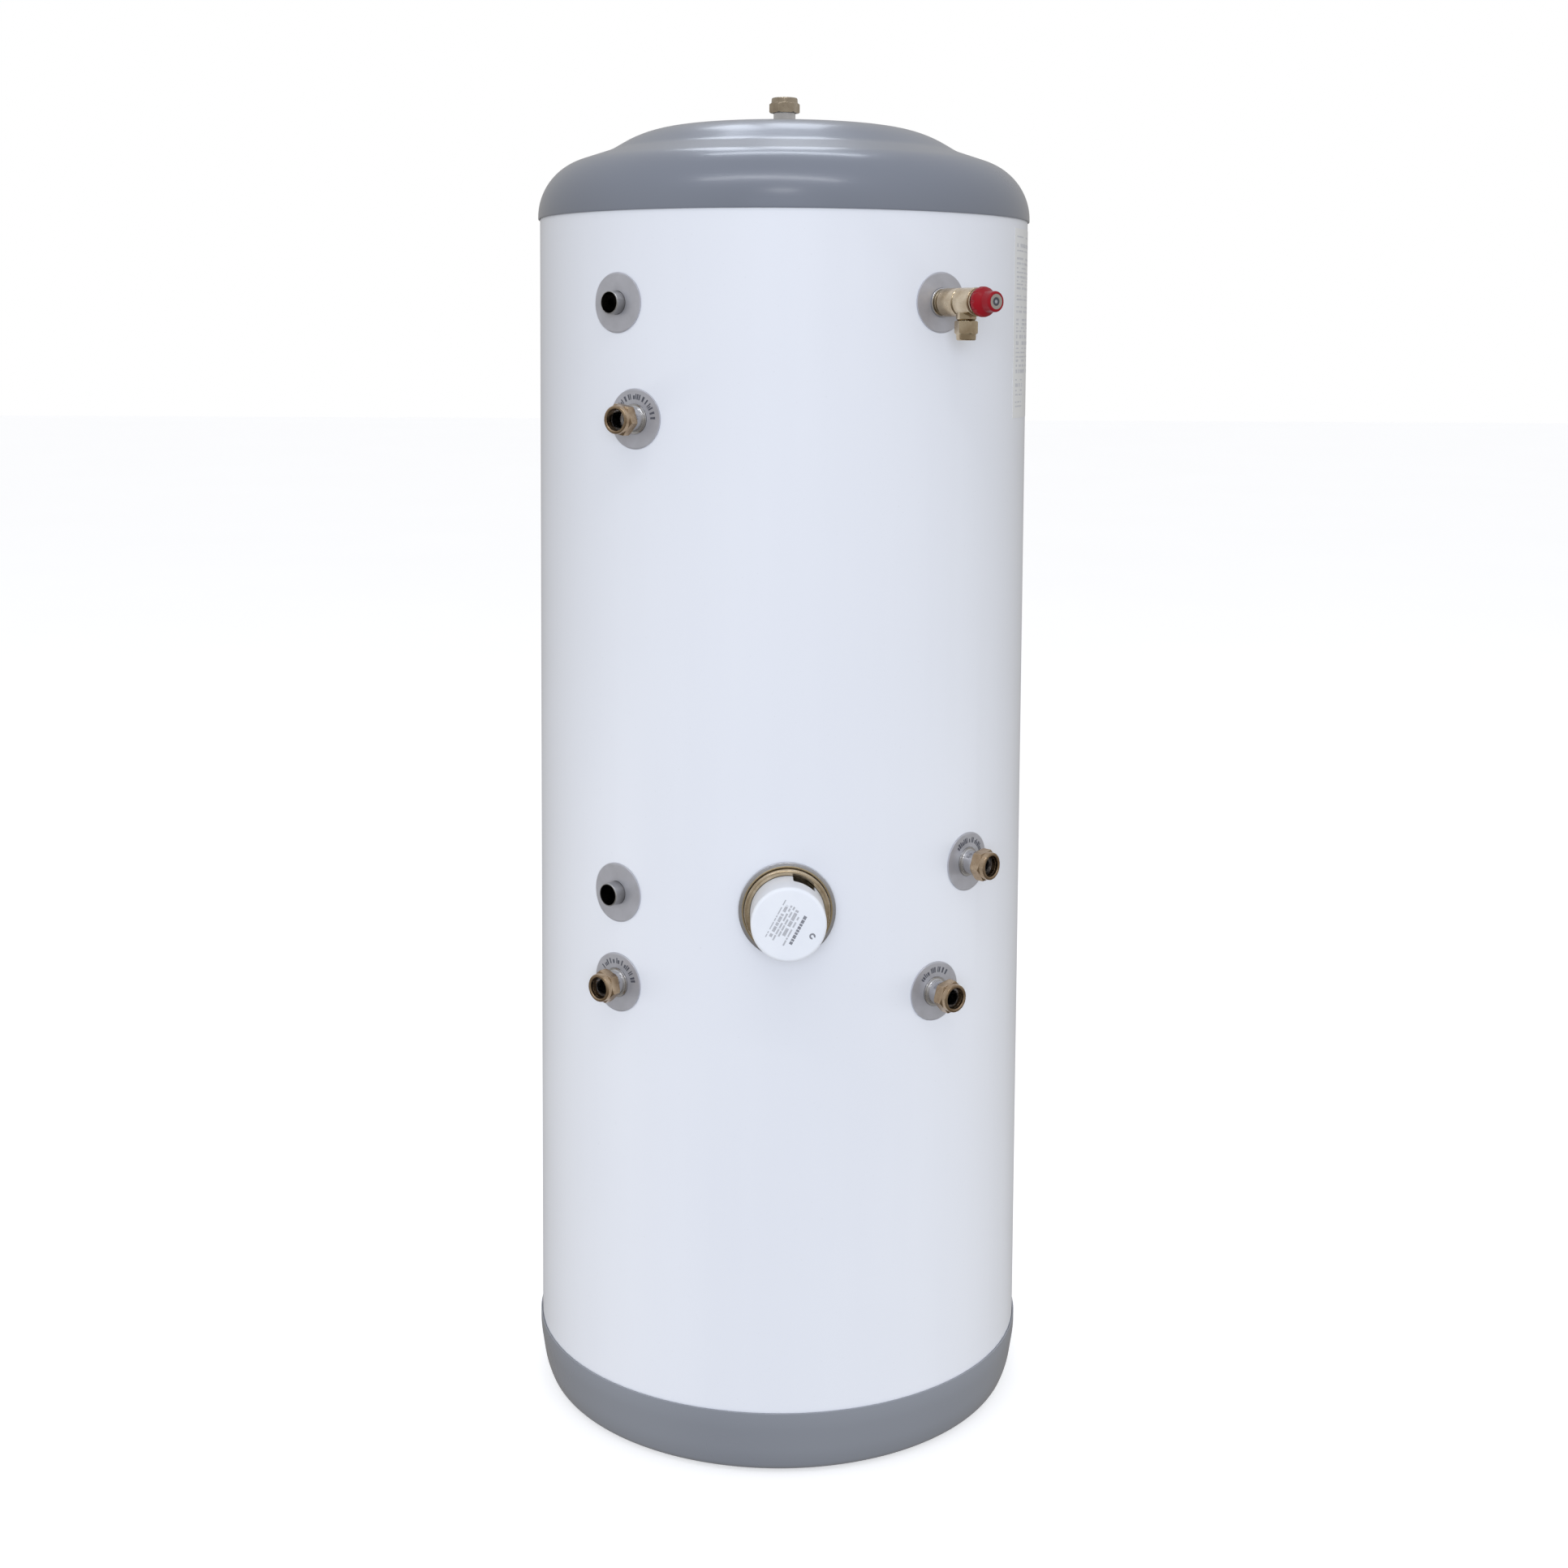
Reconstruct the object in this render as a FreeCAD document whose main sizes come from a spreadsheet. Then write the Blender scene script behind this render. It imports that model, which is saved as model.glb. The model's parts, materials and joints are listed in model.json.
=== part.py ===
import FreeCAD, Part
import itertools
import math
import os
import re

import Sketcher

# Indirect unvented hot water cylinder, 200 litres, free standing.
# Millimetres. +Z is up, the origin is the middle of the base on the floor, and the immersion
# heater faces -Y. An azimuth is counted from -Y towards +X.

DIMENSIONS = {
    # painted steel casing
    "casing_radius": 275.0,
    "casing_wall": 0.8,
    "casing_bottom": 63.0,
    "casing_top": 1334.0,
    "seam_width": 12.0,
    "seam_rise": 1.4,
    "seam_inset": 1.0,
    # moulded lids over both ends of the casing
    "lid_radius": 277.0,
    "lid_wall": 1.6,
    "lid_seam": 1328.0,
    "shoulder_rise": 50.1,
    "shoulder_round": 66.0,
    "valley_radius": 197.8,
    "valley_rise": 76.8,
    "valley_round": 60.0,
    "crown_radius": 157.9,
    "crown_rise": 100.7,
    "crown_round": 130.0,
    "apex_radius": 55.0,
    "apex_rise": 110.0,
    "apex_round": 1150.0,
    "base_seam": 70.7,
    "base_heel_radius": 263.0,
    "base_heel_round": 16.0,
    "base_flank_radius": 271.5,
    "base_flank_rise": 20.0,
    "base_flank_round": 80.0,
    "base_collar_rise": 56.0,
    # rating label stuck to the casing
    "label_azimuth": 63.7,
    "label_sweep": 40.0,
    "label_bottom": 1112.0,
    "label_top": 1318.0,
    "label_thickness": 0.25,
    # stainless vessel and what it stands on
    "tank_radius": 225.0,
    "tank_wall": 1.5,
    "tank_bottom": 150.0,
    "tank_top": 1300.0,
    "dome_rise": 72.0,
    "dome_corner": 52.0,
    "dome_round": 50.0,
    "dome_crown_radius": 60.0,
    "dome_crown_round": 800.0,
    "ring_radius": 180.0,
    "ring_wall": 3.0,
    "ring_drop": 10.0,
    "pad_top": 60.0,
    "pad_gap": 1.0,
    "foam_gap": 1.5,
    "foam_shoulder_gap": 4.0,
    "foam_crown_gap": 6.0,
    # clearances: round pipes and fittings, in threads, in pressed fits, and under moving parts
    "gap": 0.2,
    "thread_gap": 0.1,
    "press_gap": 0.05,
    "running_gap": 0.4,
    "overcut": 5.0,
    # all holes for connections start this far from the tank's axis, inside the tank
    "drill_start": 200.0,
    "drill_end": 295.0,
    "boss_root": 220.0,
    "coil_end": 219.8,
    # 22 mm compression fittings
    "pipe_bore": 11.1,
    "water_bore": 9.3,
    "neck_radius": 12.4,
    "flare_radius": 15.6,
    "flare_seat": 269.8,
    "flare_length": 6.0,
    "flare_taper": 1.0,
    "flare_fillet": 1.5,
    "flare_proud": 0.3,
    "outlet_proud": 1.0,
    "outlet_root": 4.0,
    "thread_radius": 13.2,
    "socket_depth": 26.0,
    "nut_length": 17.0,
    "nut_hex_length": 11.0,
    "nut_flats": 30.0,
    "nut_wall": 4.0,
    "nut_lap": 1.0,
    "nut_mouth": 0.8,
    "nut_collar_inset": 0.5,
    "nut_collar_round": 1.6,
    "nut_front_chamfer": 1.2,
    "nut_rear_chamfer": 1.0,
    "nut_rear_inset": 1.4,
    "olive_length": 5.0,
    "olive_lip": 0.9,
    "olive_ridge": 0.4,
    # where each fitting stands, and how far its nut happened to stop from upright
    "outlet_face": 1468.0,
    "outlet_nut_turn": 5.0,
    "secondary_azimuth": -35.3,
    "secondary_height": 1113.0,
    "secondary_nut_turn": 11.0,
    "secondary_reach": 34.0,
    "flow_azimuth": 45.2,
    "flow_height": 640.0,
    "flow_nut_turn": -8.0,
    "flow_reach": 33.5,
    "return_azimuth": -40.3,
    "return_height": 514.0,
    "return_nut_turn": 17.0,
    "return_reach": 30.0,
    "cold_azimuth": 35.2,
    "cold_height": 508.0,
    "cold_nut_turn": -13.0,
    "cold_reach": 34.5,
    "escutcheon_radius": 31.6,
    "escutcheon_rise": 1.7,
    "plate_depth": 10.0,
    "plate_edge": 0.7,
    "plate_edge_round": 1.0,
    "plate_slope": 2.4,
    "plate_face_round": 4.0,
    "plate_spare": 0.3,
    "plate_margin": 10.0,
    # dry pockets for cylinder sensors
    "pocket_azimuth": -40.3,
    "upper_pocket_height": 1233.0,
    "upper_pocket_reach": 13.0,
    "lower_pocket_height": 611.0,
    "lower_pocket_reach": 15.0,
    "pocket_radius": 12.2,
    "pocket_mouth": 11.0,
    "pocket_mouth_end": 262.0,
    "probe_bore": 5.0,
    "pocket_tube_radius": 6.5,
    "pocket_tip": 117.0,
    "pocket_tip_wall": 2.0,
    "pocket_tip_round": 3.0,
    "pocket_mouth_round": 0.8,
    "pocket_weld": 6.0,
    # heating coil
    "coil_radius": 160.0,
    "coil_tube": 11.0,
    "coil_tube_wall": 1.0,
    "coil_top": 480.0,
    "coil_pitch": 33.0,
    "coil_turns": 9,
    "coil_tail_radius": 185.0,
    "riser_radius": 112.0,
    # cold feed dip pipe
    "dip_radius": 200.0,
    "dip_tube": 9.5,
    "dip_end": 170.0,
    "dip_run": 70.0,
    "dip_fall": 40.0,
    "dip_wall": 1.0,
    "dip_bend": 30.0,
    # temperature and pressure relief valve, distances counted from the tank's axis
    "relief_azimuth": 34.8,
    "relief_height": 1235.0,
    "relief_boss_radius": 15.0,
    "relief_boss_face": 278.3,
    "relief_boss_round": 0.8,
    "relief_thread": 10.2,
    "valve_face_gap": 0.5,
    "valve_collar_inset": 2.0,
    "valve_tail": 253.0,
    "valve_inlet": 6.5,
    "barrel_radius": 14.7,
    "barrel_start": 283.0,
    "barrel_end": 332.0,
    "barrel_front_round": 2.5,
    "barrel_end_round": 1.5,
    "groove_width": 2.0,
    "groove_depth": 3.0,
    "waist_start": 306.8,
    "waist_end": 309.2,
    "waist_depth": 1.2,
    "waist_slope": 1.0,
    "chamber_radius": 10.5,
    "chamber_floor": 306.0,
    "seat_radius": 7.5,
    "seat_depth": 1.0,
    "drain_distance": 314.5,
    "drain_drop": 39.0,
    "drain_root": 9.0,
    "drain_collar": 10.4,
    "drain_collar_length": 8.0,
    "drain_collar_taper": 2.0,
    "drain_neck": 8.8,
    "drain_channel": 6.0,
    "drain_bore": 7.6,
    "drain_socket": 20.0,
    "drain_thread": 9.1,
    "drain_nut_flats": 20.8,
    "drain_nut_length": 20.0,
    "drain_nut_hex_length": 13.5,
    "drain_nut_wall": 3.2,
    "drain_nut_turn": 12.0,
    "drain_olive_length": 4.5,
    "sensor_rod": 4.2,
    "sensor_collar": 6.4,
    "sensor_tip": 150.0,
    "sensor_end": 259.0,
    "sensor_tip_round": 2.0,
    "sensor_collar_length": 4.0,
    "bonnet_start": 321.0,
    "bonnet_plug": 10.4,
    "bonnet_flange": 13.3,
    "bonnet_bore": 6.3,
    "bonnet_inside": 340.0,
    "spigot_radius": 8.0,
    "spigot_end": 342.5,
    "seal_radius": 8.6,
    "seal_start": 306.4,
    "disc_radius": 9.0,
    "disc_start": 308.0,
    "disc_end": 310.0,
    "stem_radius": 2.0,
    "stem_bore": 2.3,
    "stem_head_radius": 3.6,
    "stem_head_start": 345.0,
    "stem_head_end": 348.0,
    "stem_head_round": 0.6,
    "spring_radius": 5.0,
    "spring_wire": 0.8,
    "cap_start": 334.4,
    "cap_end": 360.0,
    "cap_radius": 15.5,
    "cap_neck_radius": 10.6,
    "cap_foot": 3.5,
    "cap_foot_inset": 3.0,
    "cap_foot_round": 4.0,
    "cap_shoulder": 8.5,
    "cap_shoulder_round": 5.0,
    "cap_neck": 14.0,
    "cap_neck_round": 3.0,
    "cap_end_round": 2.0,
    "cap_bore": 8.4,
    "cap_well_radius": 4.4,
    "cap_well_start": 343.5,
    "cap_well_end": 352.0,
    "flute_distance": 17.1,
    "flute_radius": 2.4,
    "flute_length": 12.0,
    "badge_radius": 7.8,
    "badge_depth": 1.2,
    "badge_round": 0.4,
    "badge_rim": 3.0,
    "badge_dish": 0.5,
    # immersion heater
    "heater_height": 609.5,
    "heater_boss_radius": 36.0,
    "heater_boss_weld": 8.0,
    "heater_thread": 29.4,
    "heater_seat": 262.0,
    "heater_thread_length": 26.0,
    "gasket_thickness": 2.0,
    "head_radius": 44.5,
    "head_face": 286.0,
    "head_round": 3.0,
    "head_dish": 1.0,
    "head_dish_margin": 0.5,
    "cover_radius": 38.4,
    "cover_wall": 2.0,
    "cover_face": 333.0,
    "cover_round": 3.5,
    "slot_width": 25.0,
    "slot_depth": 20.0,
    "slot_turn": 27.0,
    "slot_corner": 3.0,
    "trim_radius": 50.4,
    "trim_bore": 45.2,
    "trim_rise": 4.0,
    "element_tube": 4.0,
    "element_reach": 330.0,
    "element_x": 12.0,
    "element_high": 6.0,
    "element_low": 22.0,
    "element_bend": 0.45,
    "stat_y": 16.0,
    "stat_face": 308.0,
    "stat_half_width": 17.0,
    "stat_half_height": 12.0,
    "stat_corner": 3.0,
    "stat_tube": 6.0,
    "stat_tube_wall": 1.0,
    "stat_tube_end": -10.0,
    "stat_tube_round": 3.0,
    "stat_tube_tip": 2.0,
    "stat_stem": 3.5,
    "stat_stem_length": 250.0,
    "dial_radius": 8.0,
    "dial_spindle": 2.0,
    "dial_spindle_length": 6.0,
    "dial_hole": 2.35,
    "dial_hole_depth": 7.0,
    "dial_round": 0.6,
    "dial_slot_half_width": 1.0,
    "dial_slot_half_length": 5.5,
    "dial_slot_depth": 1.2,
    "dial_front": 311.2,
    "dial_x": 6.0,
    "button_radius": 2.5,
    "button_length": 5.0,
    "button_round": 0.7,
    "button_hole": 2.9,
    "button_hole_depth": 9.0,
    "button_front": 311.0,
    "button_x": 10.0,
    "post_radius": 1.9,
    "post_base": 3.9,
    "post_nut": 3.6,
    "post_length": 14.0,
    "post_base_end": 2.0,
    "post_nut_start": 5.0,
    "post_nut_end": 8.0,
    "post_round": 0.4,
}

doc = FreeCAD.newDocument("HotWaterCylinder")
sheet = doc.addObject("Spreadsheet::Sheet", "Dims")
for row, (alias, size) in enumerate(DIMENSIONS.items(), start=1):
    sheet.set(f"A{row}", alias)
    sheet.set(f"B{row}", str(size))
    sheet.setAlias(f"B{row}", alias)
doc.recompute()

subparts = []


# ---------------------------------------------------------------- sheet and placement helpers

def bound(expression):
    """The expression with every dimension name pointing at its cell of the sheet."""
    return re.sub(
        r"[a-z]\w+",
        lambda word: f"Dims.{word.group(0)}" if word.group(0) in DIMENSIONS else word.group(0),
        str(expression),
    )


def size(expression):
    """The number that an expression has now."""
    return float(sheet.evalExpression(bound(expression)))


def keep(item, label):
    """Count an object as a finished sub-part, under its own name."""
    item.Label = label
    subparts.append(item)
    return item


def face_outwards(item, height, azimuth="0", turn="0"):
    """Point the local +Z of an object away from the tank's axis, with its local +Y up."""
    item.setExpression(
        "Placement",
        f"create(<<placement>>; create(<<vector>>; 0; 0; {bound(height)}); "
        f"create(<<rotation>>; {bound(azimuth)}; {bound(turn)}; 90))",
    )


def outward_placement(height, azimuth="0"):
    """The same placement, for shapes that are not bound by expressions."""
    return FreeCAD.Placement(
        FreeCAD.Vector(0, 0, size(height)), FreeCAD.Rotation(size(azimuth), 0, 90)
    )


# ---------------------------------------------------------------- sketched bodies

def new_sketch(body, name, plane, lift="0"):
    """An empty sketch on one of the body's origin planes, lifted along its normal."""
    sketch = body.newObject("Sketcher::SketchObject", name)
    origin_plane = next(f for f in body.Origin.OriginFeatures if f.Role == plane)
    sketch.AttachmentSupport = [(origin_plane, "")]
    sketch.MapMode = "FlatFace"
    if lift != "0":
        sketch.setExpression("AttachmentOffset.Base.z", bound(lift))
    return sketch


def pin_point(sketch, geometry, end, across, along):
    """Hold one point of a sketch at two expressions."""
    horizontal_axis, vertical_axis = -1, -2
    for kind, expression, axis in (
        ("DistanceX", across, vertical_axis),
        ("DistanceY", along, horizontal_axis),
    ):
        value = size(expression)
        if abs(value) < 1e-9:
            sketch.addConstraint(Sketcher.Constraint("PointOnObject", geometry, end, axis))
        else:
            index = sketch.addConstraint(Sketcher.Constraint(kind, -1, 1, geometry, end, value))
            sketch.setExpression(f"Constraints[{index}]", bound(expression))


def draw_outline(sketch, corners):
    """Draw a closed outline. A corner is (across, along) or (across, along, round radius)."""
    count = len(corners)
    spots = [FreeCAD.Vector(size(c[0]), size(c[1]), 0) for c in corners]
    rounds = [size(c[2]) if len(c) > 2 else 0.0 for c in corners]
    arrive, leave, arcs = [], [], []
    for i, (spot, radius) in enumerate(zip(spots, rounds)):
        back = (spots[i - 1] - spot).normalize()
        ahead = (spots[(i + 1) % count] - spot).normalize()
        half = back.getAngle(ahead) / 2
        reach = radius / math.tan(half)
        arrive.append(spot + back * reach)
        leave.append(spot + ahead * reach)
        centre = spot + (back + ahead).normalize() * (radius / math.sin(half))
        arcs.append((centre, radius, back.cross(ahead).z < 0))
    lines = [
        sketch.addGeometry(Part.LineSegment(leave[i], arrive[(i + 1) % count])) for i in range(count)
    ]
    for i, corner in enumerate(corners):
        before, after = lines[i - 1], lines[i]
        centre, radius, turns_left = arcs[i]
        if not radius:
            sketch.addConstraint(Sketcher.Constraint("Coincident", before, 2, after, 1))
            pin_point(sketch, after, 1, corner[0], corner[1])
            continue
        first, last = (arrive[i], leave[i]) if turns_left else (leave[i], arrive[i])
        angles = [math.atan2(p.y - centre.y, p.x - centre.x) for p in (first, last)]
        circle = Part.Circle(centre, FreeCAD.Vector(0, 0, 1), radius)
        arc = sketch.addGeometry(Part.ArcOfCircle(circle, angles[0], angles[1]))
        arc_in, arc_out = (1, 2) if turns_left else (2, 1)
        sketch.addConstraint(Sketcher.Constraint("Tangent", before, 2, arc, arc_in))
        sketch.addConstraint(Sketcher.Constraint("Tangent", after, 1, arc, arc_out))
        index = sketch.addConstraint(Sketcher.Constraint("Radius", arc, radius))
        sketch.setExpression(f"Constraints[{index}]", bound(corner[2]))
        point = sketch.addGeometry(Part.Point(spots[i]), True)
        sketch.addConstraint(Sketcher.Constraint("PointOnObject", point, 1, before))
        sketch.addConstraint(Sketcher.Constraint("PointOnObject", point, 1, after))
        pin_point(sketch, point, 1, corner[0], corner[1])


def draw_circle(sketch, radius, across="0", along="0"):
    """Draw a circle whose radius and centre are expressions."""
    centre = FreeCAD.Vector(size(across), size(along), 0)
    circle = sketch.addGeometry(Part.Circle(centre, FreeCAD.Vector(0, 0, 1), size(radius)))
    index = sketch.addConstraint(Sketcher.Constraint("Radius", circle, size(radius)))
    sketch.setExpression(f"Constraints[{index}]", bound(radius))
    pin_point(sketch, circle, 3, across, along)


def draw_hexagon(sketch, flats):
    """Draw a hexagon round the origin, with two corners on the sketch's horizontal axis."""
    corner_radius = size(flats) / math.sqrt(3)
    corners = []
    for k in range(6):
        angle = k * math.pi / 3
        corners.append(FreeCAD.Vector(math.cos(angle), math.sin(angle), 0) * corner_radius)
    sides = []
    for k in range(6):
        sides.append(sketch.addGeometry(Part.LineSegment(corners[k], corners[(k + 1) % 6])))
    outer_circle = Part.Circle(FreeCAD.Vector(), FreeCAD.Vector(0, 0, 1), corner_radius)
    round_them = sketch.addGeometry(outer_circle, True)
    sketch.addConstraint(Sketcher.Constraint("Coincident", round_them, 3, -1, 1))
    for k, side in enumerate(sides):
        sketch.addConstraint(Sketcher.Constraint("Coincident", side, 2, sides[(k + 1) % 6], 1))
        sketch.addConstraint(Sketcher.Constraint("PointOnObject", side, 1, round_them))
        if k:
            sketch.addConstraint(Sketcher.Constraint("Equal", sides[0], side))
    sketch.addConstraint(Sketcher.Constraint("PointOnObject", sides[0], 1, -1))
    index = sketch.addConstraint(Sketcher.Constraint("Radius", round_them, corner_radius))
    sketch.setExpression(f"Constraints[{index}]", bound(f"{flats} / sqrt(3)"))


def turned(name, corners, angle=360):
    """A body turned about its local Z from an outline of (radius, height) corners."""
    body = doc.addObject("PartDesign::Body", name)
    sketch = new_sketch(body, f"{name}_outline", "XZ_Plane")
    draw_outline(sketch, corners)
    revolution = body.newObject("PartDesign::Revolution", f"{name}_turned")
    revolution.Profile = sketch
    revolution.ReferenceAxis = (sketch, ["V_Axis"])
    if angle == 360:
        revolution.Angle = angle
    else:
        revolution.setExpression("Angle", bound(angle))
    return body


def cut_pocket(body, name, plane, lift, draw, depth=None, reverse=False):
    """Cut a sketched pocket, and make sure that it takes material away."""
    doc.recompute()
    before = body.Shape.Volume
    sketch = new_sketch(body, f"{name}_sketch", plane, lift)
    draw(sketch)
    pocket = body.newObject("PartDesign::Pocket", name)
    pocket.Profile = sketch
    pocket.Reversed = reverse
    if depth is None:
        pocket.Type = "ThroughAll"
    else:
        pocket.setExpression("Length", bound(depth))
    doc.recompute()
    assert body.Shape.Volume < before - 1e-3, f"{name} cuts nothing"


def add_pad(body, name, plane, lift, draw, depth, reverse=False):
    """Add a sketched pad to a body."""
    sketch = new_sketch(body, f"{name}_sketch", plane, lift)
    draw(sketch)
    pad = body.newObject("PartDesign::Pad", name)
    pad.Profile = sketch
    pad.Reversed = reverse
    pad.setExpression("Length", bound(depth))


def shell_out(body, name, wall, open_face):
    """Hollow a body to a wall, leaving off the face that open_face picks."""
    doc.recompute()
    before = body.Shape.Volume
    solid = body.Tip
    faces = [f"Face{i}" for i, face in enumerate(solid.Shape.Faces, start=1) if open_face(face)]
    thickness = body.newObject("PartDesign::Thickness", name)
    thickness.Base = (solid, faces)
    thickness.setExpression("Value", bound(wall))
    thickness.Reversed = True
    thickness.Join = 0
    doc.recompute()
    assert body.Shape.Volume < before / 2, f"{name} hollows nothing"


# ---------------------------------------------------------------- primitives and bent tubes

def cylinder(name, radius, length, start="0"):
    """A cylinder along local Z."""
    rod = doc.addObject("Part::Cylinder", name)
    rod.setExpression("Radius", bound(radius))
    rod.setExpression("Height", bound(length))
    rod.setExpression("Placement.Base.z", bound(start))
    return rod


def radial_drill(name, radius, start, end, height, azimuth):
    """A cylinder that points away from the tank's axis, from one distance to another."""
    rod = doc.addObject("Part::Cylinder", name)
    rod.setExpression("Radius", bound(radius))
    rod.setExpression("Height", bound(f"{end} - ({start})"))
    rod.setExpression(
        "Placement",
        bound(
            f"create(<<placement>>; create(<<vector>>; ({start}) * sin({azimuth} * 1deg); "
            f"-({start}) * cos({azimuth} * 1deg); {height}); create(<<rotation>>; {azimuth}; 0; 90))"
        ),
    )
    return rod


def cut(name, base, tool):
    """One object minus another."""
    result = doc.addObject("Part::Cut", name)
    result.Base = base
    result.Tool = tool
    return result


def join(name, pieces):
    """Several objects as one solid."""
    result = doc.addObject("Part::MultiFuse", name)
    result.Shapes = pieces
    return result


def overlap(name, pieces):
    """What several objects have in common."""
    result = doc.addObject("Part::MultiCommon", name)
    result.Shapes = pieces
    return result


def rounded_path(corners, radius):
    """Straight runs through the corners, joined by tangent arcs as large as the radius allows."""
    edges = []
    start = corners[0]
    for i in range(1, len(corners) - 1):
        spot = corners[i]
        back = corners[i - 1] - spot
        ahead = corners[i + 1] - spot
        half_turn = (math.pi - back.getAngle(ahead)) / 2
        shorter_run = min(back.Length, ahead.Length)
        bend = min(radius, 0.45 * shorter_run / math.tan(half_turn))
        reach = bend * math.tan(half_turn)
        enter = spot + back.normalize() * reach
        leave = spot + ahead.normalize() * reach
        inward = (back + ahead).normalize()
        middle = spot + inward * (bend / math.cos(half_turn) - bend)
        edges.append(Part.LineSegment(start, enter).toShape())
        edges.append(Part.Arc(enter, middle, leave).toShape())
        start = leave
    edges.append(Part.LineSegment(start, corners[-1]).toShape())
    return Part.Wire(edges)


def bent_tube(label, corners, bend, radius, bore=0.0):
    """A tube or rod swept along a rounded path."""
    path = rounded_path(corners, bend)
    heading = corners[1] - corners[0]
    ring = Part.Face(Part.Wire(Part.Circle(corners[0], heading, radius).toShape()))
    if bore:
        ring = ring.cut(Part.Face(Part.Wire(Part.Circle(corners[0], heading, bore).toShape())))
    swept = path.makePipe(ring)
    expected = math.pi * (radius ** 2 - bore ** 2) * path.Length
    assert abs(swept.Volume / expected - 1) < 0.01, f"{label} is not its section times its length"
    tube = doc.addObject("Part::Feature", label)
    tube.Shape = swept
    return tube


def around(radius, azimuth, height):
    """A point at a distance and azimuth from the tank's axis."""
    angle = math.radians(azimuth)
    return FreeCAD.Vector(radius * math.sin(angle), -radius * math.cos(angle), height)


# ---------------------------------------------------------------- repeated pieces

def compression_boss(label, face, root, height=None, azimuth="0"):
    """A stainless tube welded into the tank, threaded and bored for a 22 mm pipe."""
    boss_end = f"{face} - nut_wall - olive_length - thread_gap"
    thread_start = f"{face} - nut_length + nut_lap"
    flare = "lid_seam + apex_rise + outlet_proud"
    if height:
        flare = "casing_radius + escutcheon_rise + flare_proud"
    body = turned(label, [
        ("water_bore", root),
        ("neck_radius", root),
        ("neck_radius", f"{flare} - flare_length - flare_taper"),
        ("flare_radius", f"{flare} - flare_length"),
        ("flare_radius", flare),
        ("neck_radius", flare, "flare_fillet"),
        ("neck_radius", thread_start),
        ("thread_radius", thread_start),
        ("thread_radius", boss_end),
        ("pipe_bore", boss_end),
        ("pipe_bore", f"{face} - socket_depth"),
        ("water_bore", f"{face} - socket_depth"),
    ])
    if height:
        face_outwards(body, height, azimuth)
    return keep(body, label)


def compression_nut(label, face, length, hexagon, flats, bore, cavity, wall, place=None):
    """A brass nut: a turned blank with a round collar in front, and six flats milled behind it."""
    corner_radius = f"{flats} / sqrt(3)"
    rear = f"{face} - {length}"
    shoulder = f"{rear} + {hexagon}"
    body = turned(label, [
        (f"{bore} + nut_mouth", face),
        (f"{flats} / 2 - nut_collar_inset", face, "nut_collar_round"),
        (f"{flats} / 2", shoulder),
        (f"{flats} / 2 + nut_collar_inset", shoulder),
        (corner_radius, f"{shoulder} - nut_front_chamfer"),
        (corner_radius, f"{rear} + nut_rear_chamfer"),
        (f"{corner_radius} - nut_rear_inset", rear),
        (cavity, rear),
        (cavity, f"{face} - {wall}"),
        (bore, f"{face} - {wall}"),
        (bore, f"{face} - nut_mouth"),
    ])

    def flats_round_hexagon(sketch):
        draw_hexagon(sketch, flats)
        draw_circle(sketch, f"{corner_radius} + overcut")

    cut_pocket(body, f"{label}_flats", "XY_Plane", rear, flats_round_hexagon, hexagon, reverse=True)
    if place:
        place(body)
    return keep(body, label)


def olive(name, front, length, bore, outside, place=None):
    """A brass ring, tapered at both ends, that the nut squeezes on to the pipe."""
    body = turned(name, [
        (bore, f"{front} - {length}"),
        (f"{bore} + olive_lip", f"{front} - {length}"),
        (outside, f"{front} - {length} * (1 - olive_ridge)"),
        (outside, f"{front} - {length} * olive_ridge"),
        (f"{bore} + olive_lip", front),
        (bore, front),
    ])
    if place:
        place(body)
    return body


def escutcheon(label, height, azimuth, radius, bore, rise, curved=True):
    """A moulded cover disc, its back cut to the round of the casing and its face flat or curved too."""
    top = f"casing_radius + {rise}"
    face = f"{top} + plate_spare" if curved else top
    disc = turned(f"{label}_blank", [
        (bore, "casing_radius - plate_depth"),
        (radius, "casing_radius - plate_depth"),
        (radius, f"{top} - plate_edge", "plate_edge_round"),
        (f"{radius} - plate_slope", face, "plate_face_round"),
        (bore, face),
    ])
    face_outwards(disc, height, azimuth)
    length, start = f"{radius} * 2 + plate_margin * 2", f"{height} - {radius} - plate_margin"
    inside = cylinder(f"{label}_casing", "casing_radius + press_gap", length, start)
    if curved:
        disc = overlap(f"{label}_curved", [disc, cylinder(f"{label}_round", top, length, start)])
    return keep(cut(label, disc, inside), label)


# ---------------------------------------------------------------- casing, lids and label

CONNECTIONS = {
    "secondary_return": "secondary",
    "primary_flow": "flow",
    "primary_return": "return",
    "cold_inlet": "cold",
}

drills = []
for connection, key in CONNECTIONS.items():
    drills.append(radial_drill(
        f"{connection}_drill", "neck_radius + gap / 2", "drill_start", "flare_seat",
        f"{key}_height", f"{key}_azimuth",
    ))
    drills.append(radial_drill(
        f"{connection}_counterbore", "flare_radius + gap", "flare_seat", "drill_end",
        f"{key}_height", f"{key}_azimuth",
    ))
for pocket_name in ("upper", "lower"):
    drills.append(radial_drill(
        f"{pocket_name}_pocket_drill", "pocket_radius + gap / 2", "drill_start", "drill_end",
        f"{pocket_name}_pocket_height", "pocket_azimuth",
    ))
drills.append(radial_drill(
    "relief_drill", "relief_boss_radius + gap / 2", "drill_start", "drill_end",
    "relief_height", "relief_azimuth",
))
drills.append(radial_drill(
    "heater_drill", "heater_boss_radius + gap / 2", "drill_start", "heater_seat + gap",
    "heater_height", "0",
))
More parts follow.
